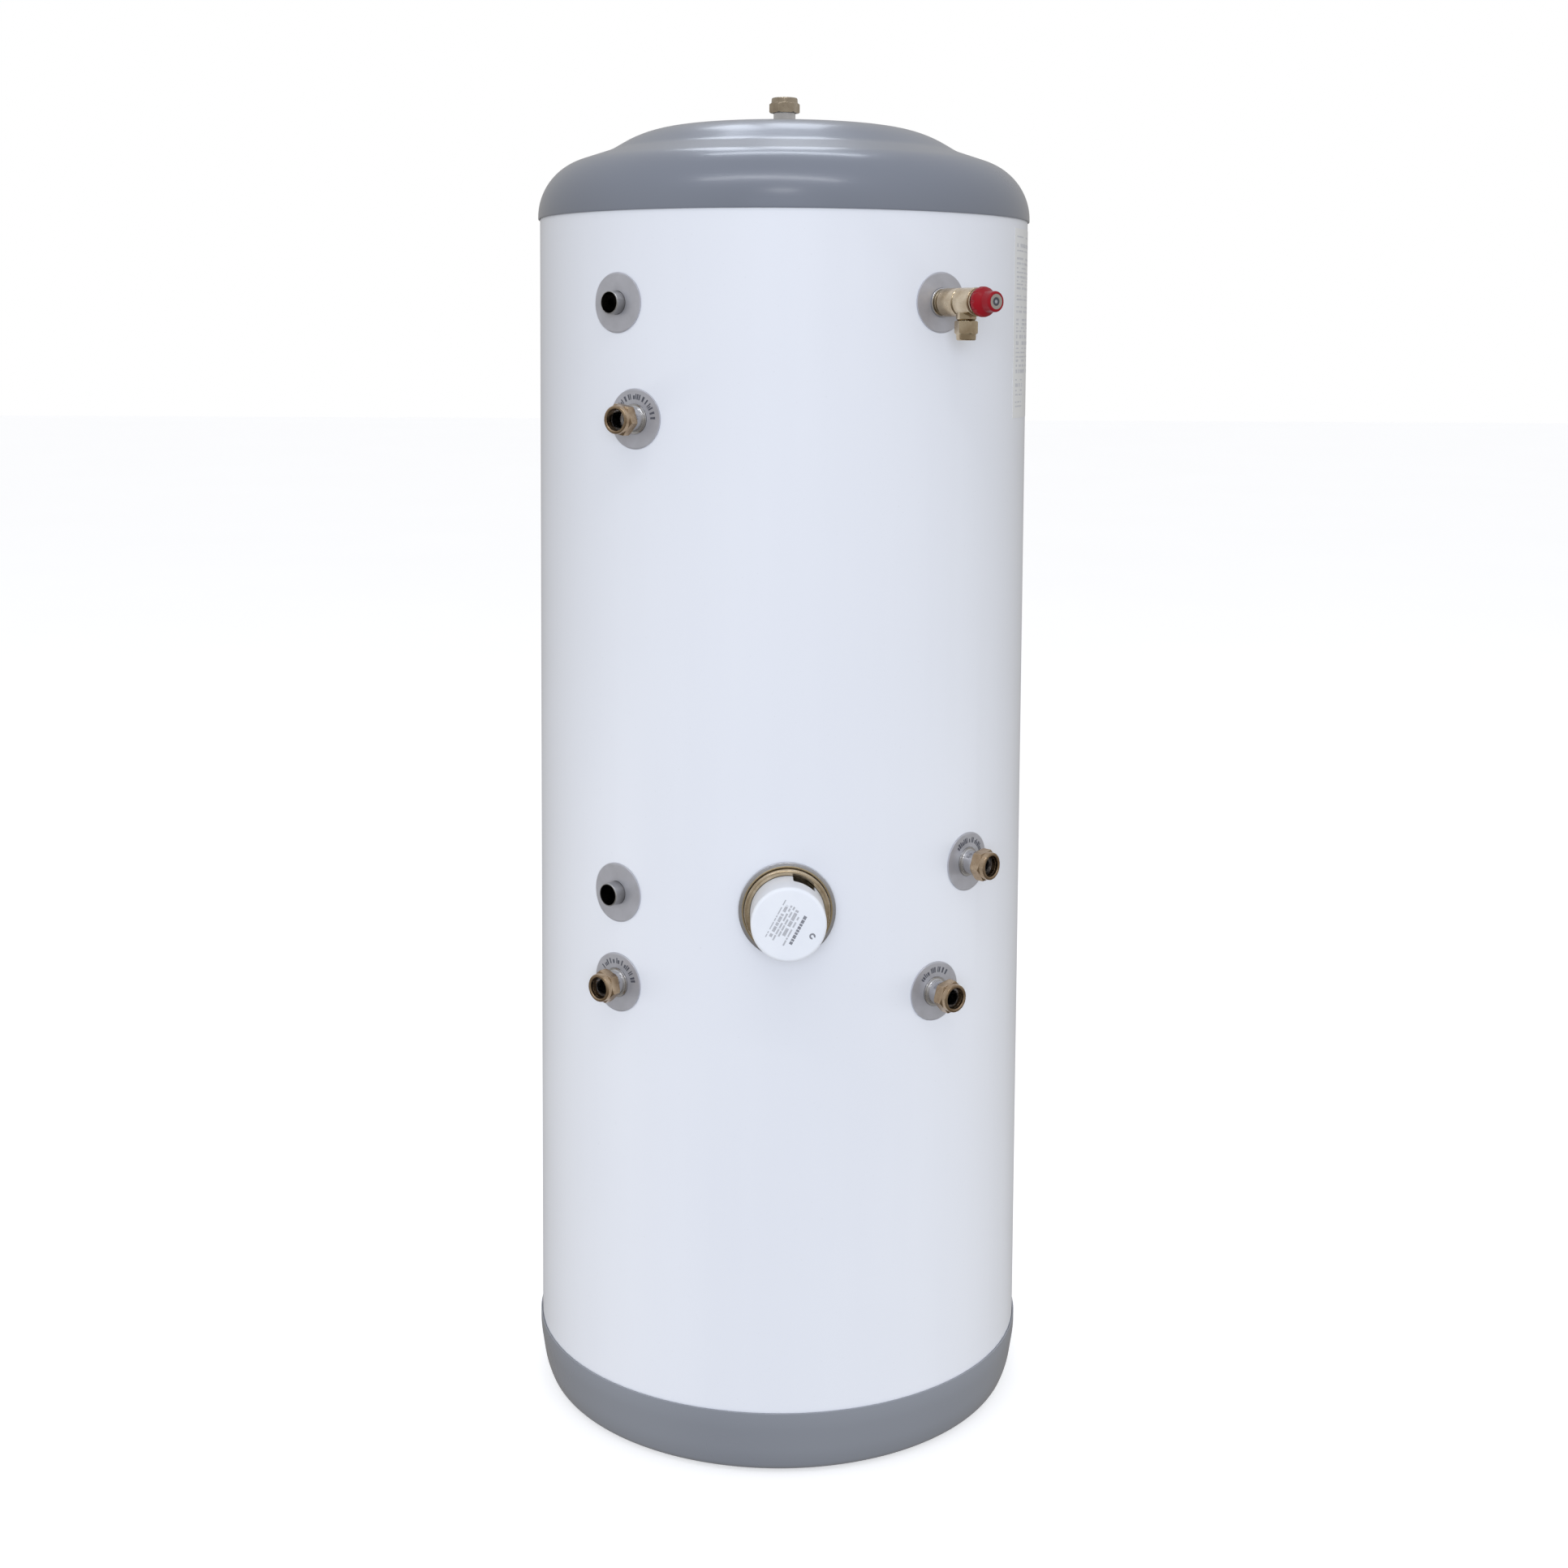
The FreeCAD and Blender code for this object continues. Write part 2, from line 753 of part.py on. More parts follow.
drills.append(radial_drill(
    "heater_counterbore", "head_radius + gap", "heater_seat + gap", "drill_end",
    "heater_height", "0",
))
all_drills = join("all_drills", drills)

casing_length = "casing_top - casing_bottom"
casing_tube = cut(
    "casing_tube",
    cylinder("casing_outside", "casing_radius", casing_length, "casing_bottom"),
    cylinder("casing_inside", "casing_radius - casing_wall", casing_length, "casing_bottom"),
)
seam = doc.addObject("Part::Box", "casing_seam")
seam.setExpression("Length", bound("seam_width"))
seam.setExpression("Width", bound("seam_rise + casing_wall / 2"))
seam.setExpression("Height", bound("lid_seam - base_seam - seam_inset * 2"))
seam.setExpression("Placement.Base.x", bound("-seam_width / 2"))
seam.setExpression("Placement.Base.y", bound("casing_radius - casing_wall / 2"))
seam.setExpression("Placement.Base.z", bound("base_seam + seam_inset"))
keep(cut("outer_casing", join("casing_blank", [casing_tube, seam]), all_drills), "outer_casing")

top_lid = turned("top_lid", [
    ("0", "lid_seam"),
    ("lid_radius", "lid_seam"),
    ("lid_radius", "lid_seam + shoulder_rise", "shoulder_round"),
    ("valley_radius", "lid_seam + valley_rise", "valley_round"),
    ("crown_radius", "lid_seam + crown_rise", "crown_round"),
    ("apex_radius", "lid_seam + apex_rise", "apex_round"),
    ("0", "lid_seam + apex_rise"),
])
shell_out(
    top_lid, "top_lid_shell", "lid_wall",
    lambda face: face.BoundBox.ZMax < size("lid_seam") + 0.01,
)
cut_pocket(
    top_lid, "top_lid_hole", "XY_Plane", "lid_seam + apex_rise + overcut",
    lambda sketch: draw_circle(sketch, "flare_radius + gap"),
)
keep(top_lid, "top_lid")

base_lid = turned("base_lid", [
    ("0", "0"),
    ("base_heel_radius", "0", "base_heel_round"),
    ("base_flank_radius", "base_flank_rise", "base_flank_round"),
    ("lid_radius", "base_collar_rise", "base_flank_round"),
    ("lid_radius", "base_seam"),
    ("0", "base_seam"),
])
shell_out(
    base_lid, "base_lid_shell", "lid_wall",
    lambda face: face.BoundBox.ZMin > size("base_seam") - 0.01,
)
keep(base_lid, "base_lid")

label = turned("data_label", [
    ("casing_radius + press_gap", "label_bottom"),
    ("casing_radius + press_gap + label_thickness", "label_bottom"),
    ("casing_radius + press_gap + label_thickness", "label_top"),
    ("casing_radius + press_gap", "label_top"),
], angle="label_sweep")
label.setExpression("Placement.Rotation.Yaw", bound("label_azimuth - 90"))
keep(label, "data_label")


# ---------------------------------------------------------------- tank and insulation

def dome_outline(grow, base, direction):
    """The outside of a tank dome, from its rim to its middle, as corners of an outline."""
    corner = f"{base} {direction} dome_corner {direction} {grow}"
    crown = f"{base} {direction} dome_rise {direction} {grow}"
    return [
        (f"tank_radius + {grow}", base),
        (f"tank_radius + {grow}", corner, f"dome_round + {grow}"),
        ("dome_crown_radius", crown, "dome_crown_round"),
        ("0", crown),
        ("0", base),
    ]


shell_tube = cut(
    "shell_tube",
    cylinder("shell_outside", "tank_radius", "tank_top - tank_bottom", "tank_bottom"),
    cylinder("shell_inside", "tank_radius - tank_wall", "tank_top - tank_bottom", "tank_bottom"),
)
keep(cut("tank_shell", shell_tube, all_drills), "tank_shell")

top_dome = turned("tank_top_dome", dome_outline("0", "tank_top", "+"))
shell_out(
    top_dome, "top_dome_shell", "tank_wall",
    lambda face: face.BoundBox.ZMax < size("tank_top") + 0.01,
)
cut_pocket(
    top_dome, "top_dome_hole", "XY_Plane", "tank_top + dome_rise + overcut",
    lambda sketch: draw_circle(sketch, "neck_radius + gap / 2"),
)
keep(top_dome, "tank_top_dome")

base_dome = turned("tank_base_dome", dome_outline("0", "tank_bottom", "-"))
shell_out(
    base_dome, "base_dome_shell", "tank_wall",
    lambda face: face.BoundBox.ZMin > size("tank_bottom") - 0.01,
)
keep(base_dome, "tank_base_dome")

base_dome_space = turned("base_dome_space", dome_outline("gap", "tank_bottom", "-"))
ring_blank = turned("ring_blank", [
    ("ring_radius", "pad_top + gap"),
    ("ring_radius + ring_wall", "pad_top + gap"),
    ("ring_radius + ring_wall", "tank_bottom - ring_drop"),
    ("ring_radius", "tank_bottom - ring_drop"),
])
keep(cut("support_ring", ring_blank, base_dome_space), "support_ring")

keep(turned("base_insulation", [
    ("0", "lid_wall + gap"),
    ("base_heel_radius - lid_wall - pad_gap", "lid_wall + gap", "base_heel_round"),
    ("base_flank_radius - lid_wall - pad_gap", "base_flank_rise", "base_heel_round"),
    ("base_flank_radius - lid_wall - pad_gap", "pad_top"),
    ("0", "pad_top"),
]), "base_insulation")

foam_side = "casing_radius - casing_wall - foam_gap"
foam_blank = turned("foam_blank", [
    ("0", "pad_top + gap"),
    (foam_side, "pad_top + gap"),
    (foam_side, "lid_seam + shoulder_rise - foam_shoulder_gap", "shoulder_round - foam_shoulder_gap"),
    ("valley_radius - foam_shoulder_gap / 2", "lid_seam + valley_rise - foam_shoulder_gap"),
    ("crown_radius", "lid_seam + crown_rise - foam_crown_gap"),
    ("neck_radius + gap", "lid_seam + apex_rise - foam_crown_gap"),
    ("neck_radius + gap", "tank_top + dome_rise + gap"),
    ("dome_crown_radius", "tank_top + dome_rise + gap"),
    ("tank_radius + gap", "tank_top + dome_corner + gap", "dome_round + gap"),
    ("tank_radius + gap", "tank_bottom - dome_corner - gap", "dome_round + gap"),
    ("dome_crown_radius", "tank_bottom - dome_rise - gap"),
    ("0", "tank_bottom - dome_rise - gap"),
])
ring_space = cylinder(
    "ring_space", "ring_radius + ring_wall + gap", "tank_bottom - pad_top", "pad_top"
)
foam_drilled = cut("foam_drilled", foam_blank, all_drills)
keep(cut("foam_insulation", foam_drilled, ring_space), "foam_insulation")


# ---------------------------------------------------------------- 22 mm connections

compression_boss("hot_outlet_boss", "outlet_face", "tank_top + dome_rise - outlet_root")
nut_shape = (
    "nut_length", "nut_hex_length", "nut_flats", "pipe_bore", "thread_radius + gap", "nut_wall"
)
olive_shape = ("olive_length", "pipe_bore", "thread_radius - gap")
hot_outlet_nut = compression_nut("hot_outlet_nut", "outlet_face", *nut_shape)
hot_outlet_nut.setExpression("Placement.Rotation.Yaw", bound("outlet_nut_turn"))
olives = [olive("hot_outlet_olive", "outlet_face - nut_wall", *olive_shape)]
for connection, key in CONNECTIONS.items():
    face = f"casing_radius + {key}_reach"
    height, azimuth = f"{key}_height", f"{key}_azimuth"

    def place(body):
        face_outwards(body, height, azimuth, f"{key}_nut_turn")

    compression_boss(f"{connection}_boss", face, "boss_root", height, azimuth)
    escutcheon(
        f"{connection}_escutcheon", height, azimuth,
        "escutcheon_radius", "flare_radius + gap", "escutcheon_rise",
    )
    compression_nut(f"{connection}_nut", face, *nut_shape, place)
    olives.append(olive(f"{connection}_olive", f"{face} - nut_wall", *olive_shape, place))
olive_set = doc.addObject("Part::Compound", "olives_22mm")
olive_set.Links = olives
keep(olive_set, "olives_22mm")


# ---------------------------------------------------------------- sensor pockets

for pocket_name in ("upper", "lower"):
    face = f"casing_radius + {pocket_name}_pocket_reach"
    height = f"{pocket_name}_pocket_height"
    pocket = turned(f"{pocket_name}_sensor_pocket", [
        ("0", "pocket_tip"),
        ("pocket_tube_radius", "pocket_tip", "pocket_tip_round"),
        ("pocket_tube_radius", "tank_radius - pocket_weld"),
        ("pocket_radius", "tank_radius - pocket_weld"),
        ("pocket_radius", face, "pocket_mouth_round"),
        ("pocket_mouth", face),
        ("pocket_mouth", "pocket_mouth_end"),
        ("probe_bore", "pocket_mouth_end"),
        ("probe_bore", "pocket_tip + pocket_tip_wall"),
        ("0", "pocket_tip + pocket_tip_wall"),
    ])
    face_outwards(pocket, height, "pocket_azimuth")
    keep(pocket, f"{pocket_name}_sensor_pocket")
    escutcheon(
        f"{pocket_name}_pocket_escutcheon", height, "pocket_azimuth",
        "escutcheon_radius", "pocket_radius + gap", "escutcheon_rise",
    )


# ---------------------------------------------------------------- heating coil and cold feed

def heating_coil():
    """The primary coil: a tail down from the flow boss, nine turns, and a riser to the return."""
    corners_per_turn = 8
    flow = size("flow_azimuth")
    back = size("return_azimuth")
    tail = size("coil_tail_radius")
    riser = size("riser_radius")
    top = size("coil_top")
    radius = size("coil_radius")
    step = 360 / corners_per_turn
    first = flow + step
    steps = round((size("coil_turns") * 360 + back - step - first) / step)
    corners = [
        around(size("coil_end"), flow, size("flow_height")),
        around(tail, flow, size("flow_height")),
        around(tail, flow, top + size("coil_pitch")),
    ]
    for k in range(steps + 1):
        azimuth = first + k * step
        corners.append(around(radius, azimuth, top - k * size("coil_pitch") / corners_per_turn))
    bottom = corners[-1].z
    corners += [
        around(riser, back, bottom),
        around(riser, back, size("return_height")),
        around(size("coil_end"), back, size("return_height")),
    ]
    bore = size("coil_tube - coil_tube_wall")
    return bent_tube("heating_coil", corners, radius, size("coil_tube"), bore)


keep(heating_coil(), "heating_coil")


def cold_dip_pipe():
    """A pipe from the cold inlet down beside the wall, turned in along the floor of the tank."""
    azimuth = size("cold_azimuth")
    wall_distance = size("dip_radius")
    corners = [
        around(size("coil_end"), azimuth, size("cold_height")),
        around(wall_distance, azimuth, size("cold_height")),
        around(wall_distance, azimuth, size("dip_end")),
        around(wall_distance - size("dip_run"), azimuth, size("dip_end - dip_fall")),
    ]
    bore = size("dip_tube - dip_wall")
    return bent_tube("cold_dip_pipe", corners, size("dip_bend"), size("dip_tube"), bore)


keep(cold_dip_pipe(), "cold_dip_pipe")


# ---------------------------------------------------------------- relief valve

def at_relief(body):
    """Place a piece of the relief valve on its axis."""
    face_outwards(body, "relief_height", "relief_azimuth")


def hang_at_drain(body):
    """Hang a piece under the valve's axis, with its local Z down, at the drain's distance."""
    body.setExpression("Placement", bound(
        "create(<<placement>>; create(<<vector>>; drain_distance * sin(relief_azimuth * 1deg); "
        "-drain_distance * cos(relief_azimuth * 1deg); relief_height); "
        "create(<<rotation>>; relief_azimuth + drain_nut_turn; 0; 180))"
    ))


def relief_piece(label, corners):
    """A finished turned piece on the relief valve's axis."""
    body = turned(label, corners)
    at_relief(body)
    return keep(body, label)


relief_piece("relief_boss", [
    ("relief_thread + thread_gap", "boss_root"),
    ("relief_boss_radius", "boss_root"),
    ("relief_boss_radius", "relief_boss_face", "relief_boss_round"),
    ("relief_thread + thread_gap", "relief_boss_face"),
])
escutcheon(
    "relief_escutcheon", "relief_height", "relief_azimuth",
    "escutcheon_radius", "relief_boss_radius + gap", "escutcheon_rise",
)

valve_turned = turned("valve_turned", [
    ("valve_inlet", "valve_tail"),
    ("relief_thread", "valve_tail"),
    ("relief_thread", "relief_boss_face + valve_face_gap"),
    ("relief_boss_radius - valve_collar_inset", "relief_boss_face + valve_face_gap"),
    ("relief_boss_radius - valve_collar_inset", "barrel_start - groove_width"),
    ("barrel_radius - groove_depth", "barrel_start - groove_width"),
    ("barrel_radius - groove_depth", "barrel_start"),
    ("barrel_radius", "barrel_start", "barrel_front_round"),
    ("barrel_radius", "waist_start", "waist_slope"),
    ("barrel_radius - waist_depth", "waist_start + waist_slope"),
    ("barrel_radius - waist_depth", "waist_end - waist_slope"),
    ("barrel_radius", "waist_end", "waist_slope"),
    ("barrel_radius", "barrel_end", "barrel_end_round"),
    ("chamber_radius", "barrel_end"),
    ("chamber_radius", "chamber_floor"),
    ("seat_radius", "chamber_floor"),
    ("valve_inlet", "chamber_floor - seat_depth"),
])
at_relief(valve_turned)

branch_end = "drain_drop - drain_nut_wall - drain_olive_length - thread_gap"
thread_start = "drain_drop - drain_nut_length + nut_lap"
branch = turned("drain_branch", [
    ("0", "drain_root"),
    ("drain_collar", "drain_root"),
    ("drain_collar", "drain_root + drain_collar_length"),
    ("drain_neck", "drain_root + drain_collar_length + drain_collar_taper"),
    ("drain_neck", thread_start),
    ("drain_thread", thread_start),
    ("drain_thread", branch_end),
    ("0", branch_end),
])
hang_at_drain(branch)
branch_bore = turned("drain_bore_space", [
    ("0", "0"),
    ("drain_channel", "0"),
    ("drain_channel", "drain_drop - drain_socket"),
    ("drain_bore", "drain_drop - drain_socket"),
    ("drain_bore", "drain_drop"),
    ("0", "drain_drop"),
])
hang_at_drain(branch_bore)
chamber = radial_drill(
    "valve_chamber", "chamber_radius", "chamber_floor", "barrel_end",
    "relief_height", "relief_azimuth",
)
valve_space = join("valve_space", [branch_bore, chamber])
valve_blank = join("valve_blank", [valve_turned, branch])
keep(cut("relief_valve_body", valve_blank, valve_space), "relief_valve_body")

compression_nut(
    "relief_drain_nut", "drain_drop", "drain_nut_length", "drain_nut_hex_length",
    "drain_nut_flats", "drain_bore", "drain_thread + gap", "drain_nut_wall", hang_at_drain,
)
keep(olive(
    "relief_drain_olive", "drain_drop - drain_nut_wall", "drain_olive_length",
    "drain_bore", "drain_thread - gap", hang_at_drain,
), "relief_drain_olive")

relief_piece("relief_probe", [
    ("0", "sensor_tip"),
    ("sensor_rod", "sensor_tip", "sensor_tip_round"),
    ("sensor_rod", "sensor_end - sensor_collar_length"),
    ("sensor_collar", "sensor_end - sensor_collar_length"),
    ("sensor_collar", "sensor_end"),
    ("0", "sensor_end"),
])
relief_piece("relief_bonnet", [
    ("bonnet_bore", "bonnet_start"),
    ("bonnet_plug", "bonnet_start"),
    ("bonnet_plug", "barrel_end + thread_gap"),
    ("bonnet_flange", "barrel_end + thread_gap"),
    ("bonnet_flange", "cap_start - running_gap"),
    ("spigot_radius", "cap_start - running_gap"),
    ("spigot_radius", "spigot_end"),
    ("stem_bore", "spigot_end"),
    ("stem_bore", "bonnet_inside"),
    ("bonnet_bore", "bonnet_inside"),
])
relief_piece("relief_seal", [
    ("0", "seal_start"),
    ("seal_radius", "seal_start"),
    ("seal_radius", "disc_start"),
    ("0", "disc_start"),
])
relief_piece("relief_stem", [
    ("0", "disc_start"),
    ("disc_radius", "disc_start"),
    ("disc_radius", "disc_end"),
    ("stem_radius", "disc_end"),
    ("stem_radius", "stem_head_start"),
    ("stem_head_radius", "stem_head_start"),
    ("stem_head_radius", "stem_head_end", "stem_head_round"),
    ("0", "stem_head_end"),
])


def relief_spring():
    """The spring that holds the valve shut, between its disc and the inside of the bonnet."""
    wire = size("spring_wire")
    radius = size("spring_radius")
    low = size("disc_end + press_gap") + wire
    high = size("bonnet_inside - press_gap") - wire
    corners_per_turn, turns = 8, 6
    steps = corners_per_turn * turns
    corners = []
    for k in range(steps + 1):
        angle = 2 * math.pi * k / corners_per_turn
        rise = low + (high - low) * k / steps
        corners.append(FreeCAD.Vector(radius * math.cos(angle), radius * math.sin(angle), rise))
    spring = bent_tube("relief_spring", corners, radius, wire)
    spring.Placement = outward_placement("relief_height", "relief_azimuth")
    return spring


keep(relief_spring(), "relief_spring")


def grip_flutes(sketch):
    """Ten shallow flutes round the widest part of the cap."""
    flutes = 10
    for k in range(flutes):
        turn = 360 * k / flutes
        across = f"flute_distance * cos({turn}deg)"
        along = f"flute_distance * sin({turn}deg)"
        draw_circle(sketch, "flute_radius", across, along)


relief_cap = relief_piece("relief_cap", [
    ("cap_bore", "cap_start"),
    ("cap_radius - cap_foot_inset", "cap_start"),
    ("cap_radius", "cap_start + cap_foot", "cap_foot_round"),
    ("cap_radius", "cap_start + cap_shoulder", "cap_shoulder_round"),
    ("cap_neck_radius", "cap_start + cap_neck", "cap_neck_round"),
    ("cap_neck_radius", "cap_end", "cap_end_round"),
    ("badge_radius + press_gap", "cap_end"),
    ("badge_radius + press_gap", "cap_end - badge_depth - press_gap"),
    ("0", "cap_end - badge_depth - press_gap"),
    ("0", "cap_well_end"),
    ("cap_well_radius", "cap_well_end"),
    ("cap_well_radius", "cap_well_start"),
    ("cap_bore", "cap_well_start"),
])
cut_pocket(
    relief_cap, "relief_cap_flutes", "XY_Plane", "cap_start", grip_flutes, "flute_length",
    reverse=True,
)
relief_piece("relief_cap_badge", [
    ("0", "cap_end - badge_depth"),
    ("badge_radius", "cap_end - badge_depth"),
    ("badge_radius", "cap_end", "badge_round"),
    ("badge_radius - badge_rim", "cap_end"),
    ("badge_radius - badge_rim - badge_round", "cap_end - badge_dish"),
    ("0", "cap_end - badge_dish"),
])


# ---------------------------------------------------------------- immersion heater

def heater_piece(label, corners, x="0", y="0"):
    """A finished turned piece, its axis beside the heater's by x and above it by y."""
    body = turned(label, corners)
    body.setExpression("Placement", bound(
        f"create(<<placement>>; create(<<vector>>; {x}; 0; heater_height + ({y})); "
        "create(<<rotation>>; 0; 0; 90))"
    ))
    return keep(body, label)


heater_piece("immersion_boss", [
    ("heater_thread + thread_gap", "tank_radius - heater_boss_weld"),
    ("heater_boss_radius", "tank_radius - heater_boss_weld"),
    ("heater_boss_radius", "heater_seat"),
    ("heater_thread + thread_gap", "heater_seat"),
])
heater_piece("immersion_gasket", [
    ("heater_thread + thread_gap", "heater_seat"),
    ("heater_boss_radius", "heater_seat"),
    ("heater_boss_radius", "heater_seat + gasket_thickness"),
    ("heater_thread + thread_gap", "heater_seat + gasket_thickness"),
])
head = heater_piece("immersion_head", [
    ("0", "heater_seat - heater_thread_length"),
    ("heater_thread", "heater_seat - heater_thread_length"),
    ("heater_thread", "heater_seat + gasket_thickness"),
    ("head_radius", "heater_seat + gasket_thickness"),
    ("head_radius", "head_face", "head_round"),
    ("cover_radius + head_dish_margin", "head_face"),
    ("cover_radius - head_dish_margin", "head_face - head_dish"),
    ("0", "head_face - head_dish"),
])


def element_holes(sketch):
    """Four holes for the elements' legs and one for the thermostat's pocket."""
    for side in ("-", ""):
        draw_circle(sketch, "element_tube + press_gap", f"{side}element_x", "-element_high")
        draw_circle(sketch, "element_tube + press_gap", f"{side}element_x", "-element_low")
    draw_circle(sketch, "stat_tube + press_gap", "0", "stat_y")


cut_pocket(head, "immersion_head_holes", "XY_Plane", "head_face + overcut", element_holes)

hairpins = []
for side in (-1, 1):
    x = side * size("element_x")
    high, low = -size("element_high"), -size("element_low")
    start, tip = size("head_face - head_dish * 2"), size("head_face - element_reach")
    hairpin = bent_tube(f"element_hairpin_{'left' if side < 0 else 'right'}", [
        FreeCAD.Vector(x, high, start),
        FreeCAD.Vector(x, high, tip),
        FreeCAD.Vector(x, low, tip),
        FreeCAD.Vector(x, low, start),
    ], (high - low) * size("element_bend"), size("element_tube"))
    hairpin.Placement = outward_placement("heater_height")
    hairpins.append(hairpin)
elements = doc.addObject("Part::Compound", "immersion_elements")
elements.Links = hairpins
keep(elements, "immersion_elements")

heater_piece("thermostat_pocket", [
    ("0", "stat_tube_end"),
    ("stat_tube", "stat_tube_end", "stat_tube_round"),
    ("stat_tube", "head_face - head_dish - thread_gap"),
    ("stat_tube - stat_tube_wall", "head_face - head_dish - thread_gap"),
    ("stat_tube - stat_tube_wall", "stat_tube_end + stat_tube_tip"),
    ("0", "stat_tube_end + stat_tube_tip"),
], y="stat_y")

stat = doc.addObject("PartDesign::Body", "heater_thermostat")


def stat_block(sketch):
    """The thermostat's housing, a block with round corners."""
    draw_outline(sketch, [
        ("-stat_half_width", "stat_y - stat_half_height", "stat_corner"),
        ("stat_half_width", "stat_y - stat_half_height", "stat_corner"),
        ("stat_half_width", "stat_y + stat_half_height", "stat_corner"),
        ("-stat_half_width", "stat_y + stat_half_height", "stat_corner"),
    ])


stat_back = "head_face - head_dish + thread_gap"
add_pad(stat, "stat_housing", "XY_Plane", stat_back, stat_block, f"stat_face - ({stat_back})")
add_pad(
    stat, "stat_stem_rod", "XY_Plane", stat_back,
    lambda sketch: draw_circle(sketch, "stat_stem", "0", "stat_y"), "stat_stem_length",
    reverse=True,
)
cut_pocket(
    stat, "stat_dial_hole", "XY_Plane", "stat_face",
    lambda sketch: draw_circle(sketch, "dial_hole", "-dial_x", "stat_y"), "dial_hole_depth",
)
cut_pocket(
    stat, "stat_button_hole", "XY_Plane", "stat_face",
    lambda sketch: draw_circle(sketch, "button_hole", "button_x", "stat_y"), "button_hole_depth",
)
face_outwards(stat, "heater_height")
keep(stat, "heater_thermostat")

dial = heater_piece("thermostat_dial", [
    ("0", "stat_face - dial_spindle_length"),
    ("dial_spindle", "stat_face - dial_spindle_length"),
    ("dial_spindle", "stat_face + running_gap"),
    ("dial_radius", "stat_face + running_gap"),
    ("dial_radius", "dial_front", "dial_round"),
    ("0", "dial_front"),
], "-dial_x", "stat_y")


def screwdriver_slot(sketch):
    """The slot across the dial."""
    draw_outline(sketch, [
        ("-dial_slot_half_width", "-dial_slot_half_length"),
        ("dial_slot_half_width", "-dial_slot_half_length"),
        ("dial_slot_half_width", "dial_slot_half_length"),
        ("-dial_slot_half_width", "dial_slot_half_length"),
    ])


cut_pocket(dial, "dial_slot", "XY_Plane", "dial_front", screwdriver_slot, "dial_slot_depth")
heater_piece("reset_button", [
    ("0", "stat_face - button_length"),
    ("button_radius", "stat_face - button_length"),
    ("button_radius", "button_front", "button_round"),
    ("0", "button_front"),
], "button_x", "stat_y")

posts = []
for x, y in itertools.product(("-element_x", "element_x"), ("-element_high", "-element_low")):
    post = turned(f"terminal_post_{len(posts) + 1}", [
        ("0", "head_face - head_dish * 2 + thread_gap"),
        ("post_base", "head_face - head_dish * 2 + thread_gap"),
        ("post_base", "head_face + post_base_end"),
        ("post_radius", "head_face + post_base_end"),
        ("post_radius", "head_face + post_nut_start"),
        ("post_nut", "head_face + post_nut_start"),
        ("post_nut", "head_face + post_nut_end"),
        ("post_radius", "head_face + post_nut_end"),
        ("post_radius", "head_face + post_length", "post_round"),
        ("0", "head_face + post_length"),
    ])
    post.setExpression("Placement", bound(
        f"create(<<placement>>; create(<<vector>>; {x}; 0; heater_height + ({y})); "
        "create(<<rotation>>; 0; 0; 90))"
    ))
    posts.append(post)
terminals = doc.addObject("Part::Compound", "heater_terminals")
terminals.Links = posts
keep(terminals, "heater_terminals")

cover = turned("immersion_cover", [
    ("0", "cover_face"),
    ("cover_radius", "cover_face", "cover_round"),
    ("cover_radius", "head_face + running_gap"),
    ("cover_radius - cover_wall", "head_face + running_gap"),
    ("cover_radius - cover_wall", "cover_face - cover_wall", "cover_round - cover_wall"),
    ("0", "cover_face - cover_wall"),
])


def cable_slot(sketch):
    """The cable's way in, cut from the cover's open edge."""
    draw_outline(sketch, [
        ("-slot_width / 2", "head_face - overcut"),
        ("slot_width / 2", "head_face - overcut"),
        ("slot_width / 2", "head_face + slot_depth", "slot_corner"),
        ("-slot_width / 2", "head_face + slot_depth", "slot_corner"),
    ])


cut_pocket(cover, "cover_cable_slot", "XZ_Plane", "0", cable_slot)
face_outwards(cover, "heater_height", "0", "slot_turn")
keep(cover, "immersion_cover")

escutcheon(
    "immersion_escutcheon", "heater_height", "0", "trim_radius", "trim_bore", "trim_rise",
    curved=False,
)


# ---------------------------------------------------------------- check and write

doc.recompute()
for item in doc.Objects:
    if "Invalid" in item.State or "Error" in item.State:
        raise RuntimeError(f"{item.Label} failed: {item.State}")
for part in subparts:
    if part.Shape.isNull() or not part.Shape.isValid() or not part.Shape.Solids:
        raise RuntimeError(f"{part.Label} has no valid solid")

os.makedirs("parts", exist_ok=True)
for part in subparts:
    part.Shape.exportStep(f"parts/{part.Label}.step")
print(f"{len(subparts)} sub-parts written")
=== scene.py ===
import json
import math
import random

import bmesh
import bpy
from mathutils import Matrix, Vector


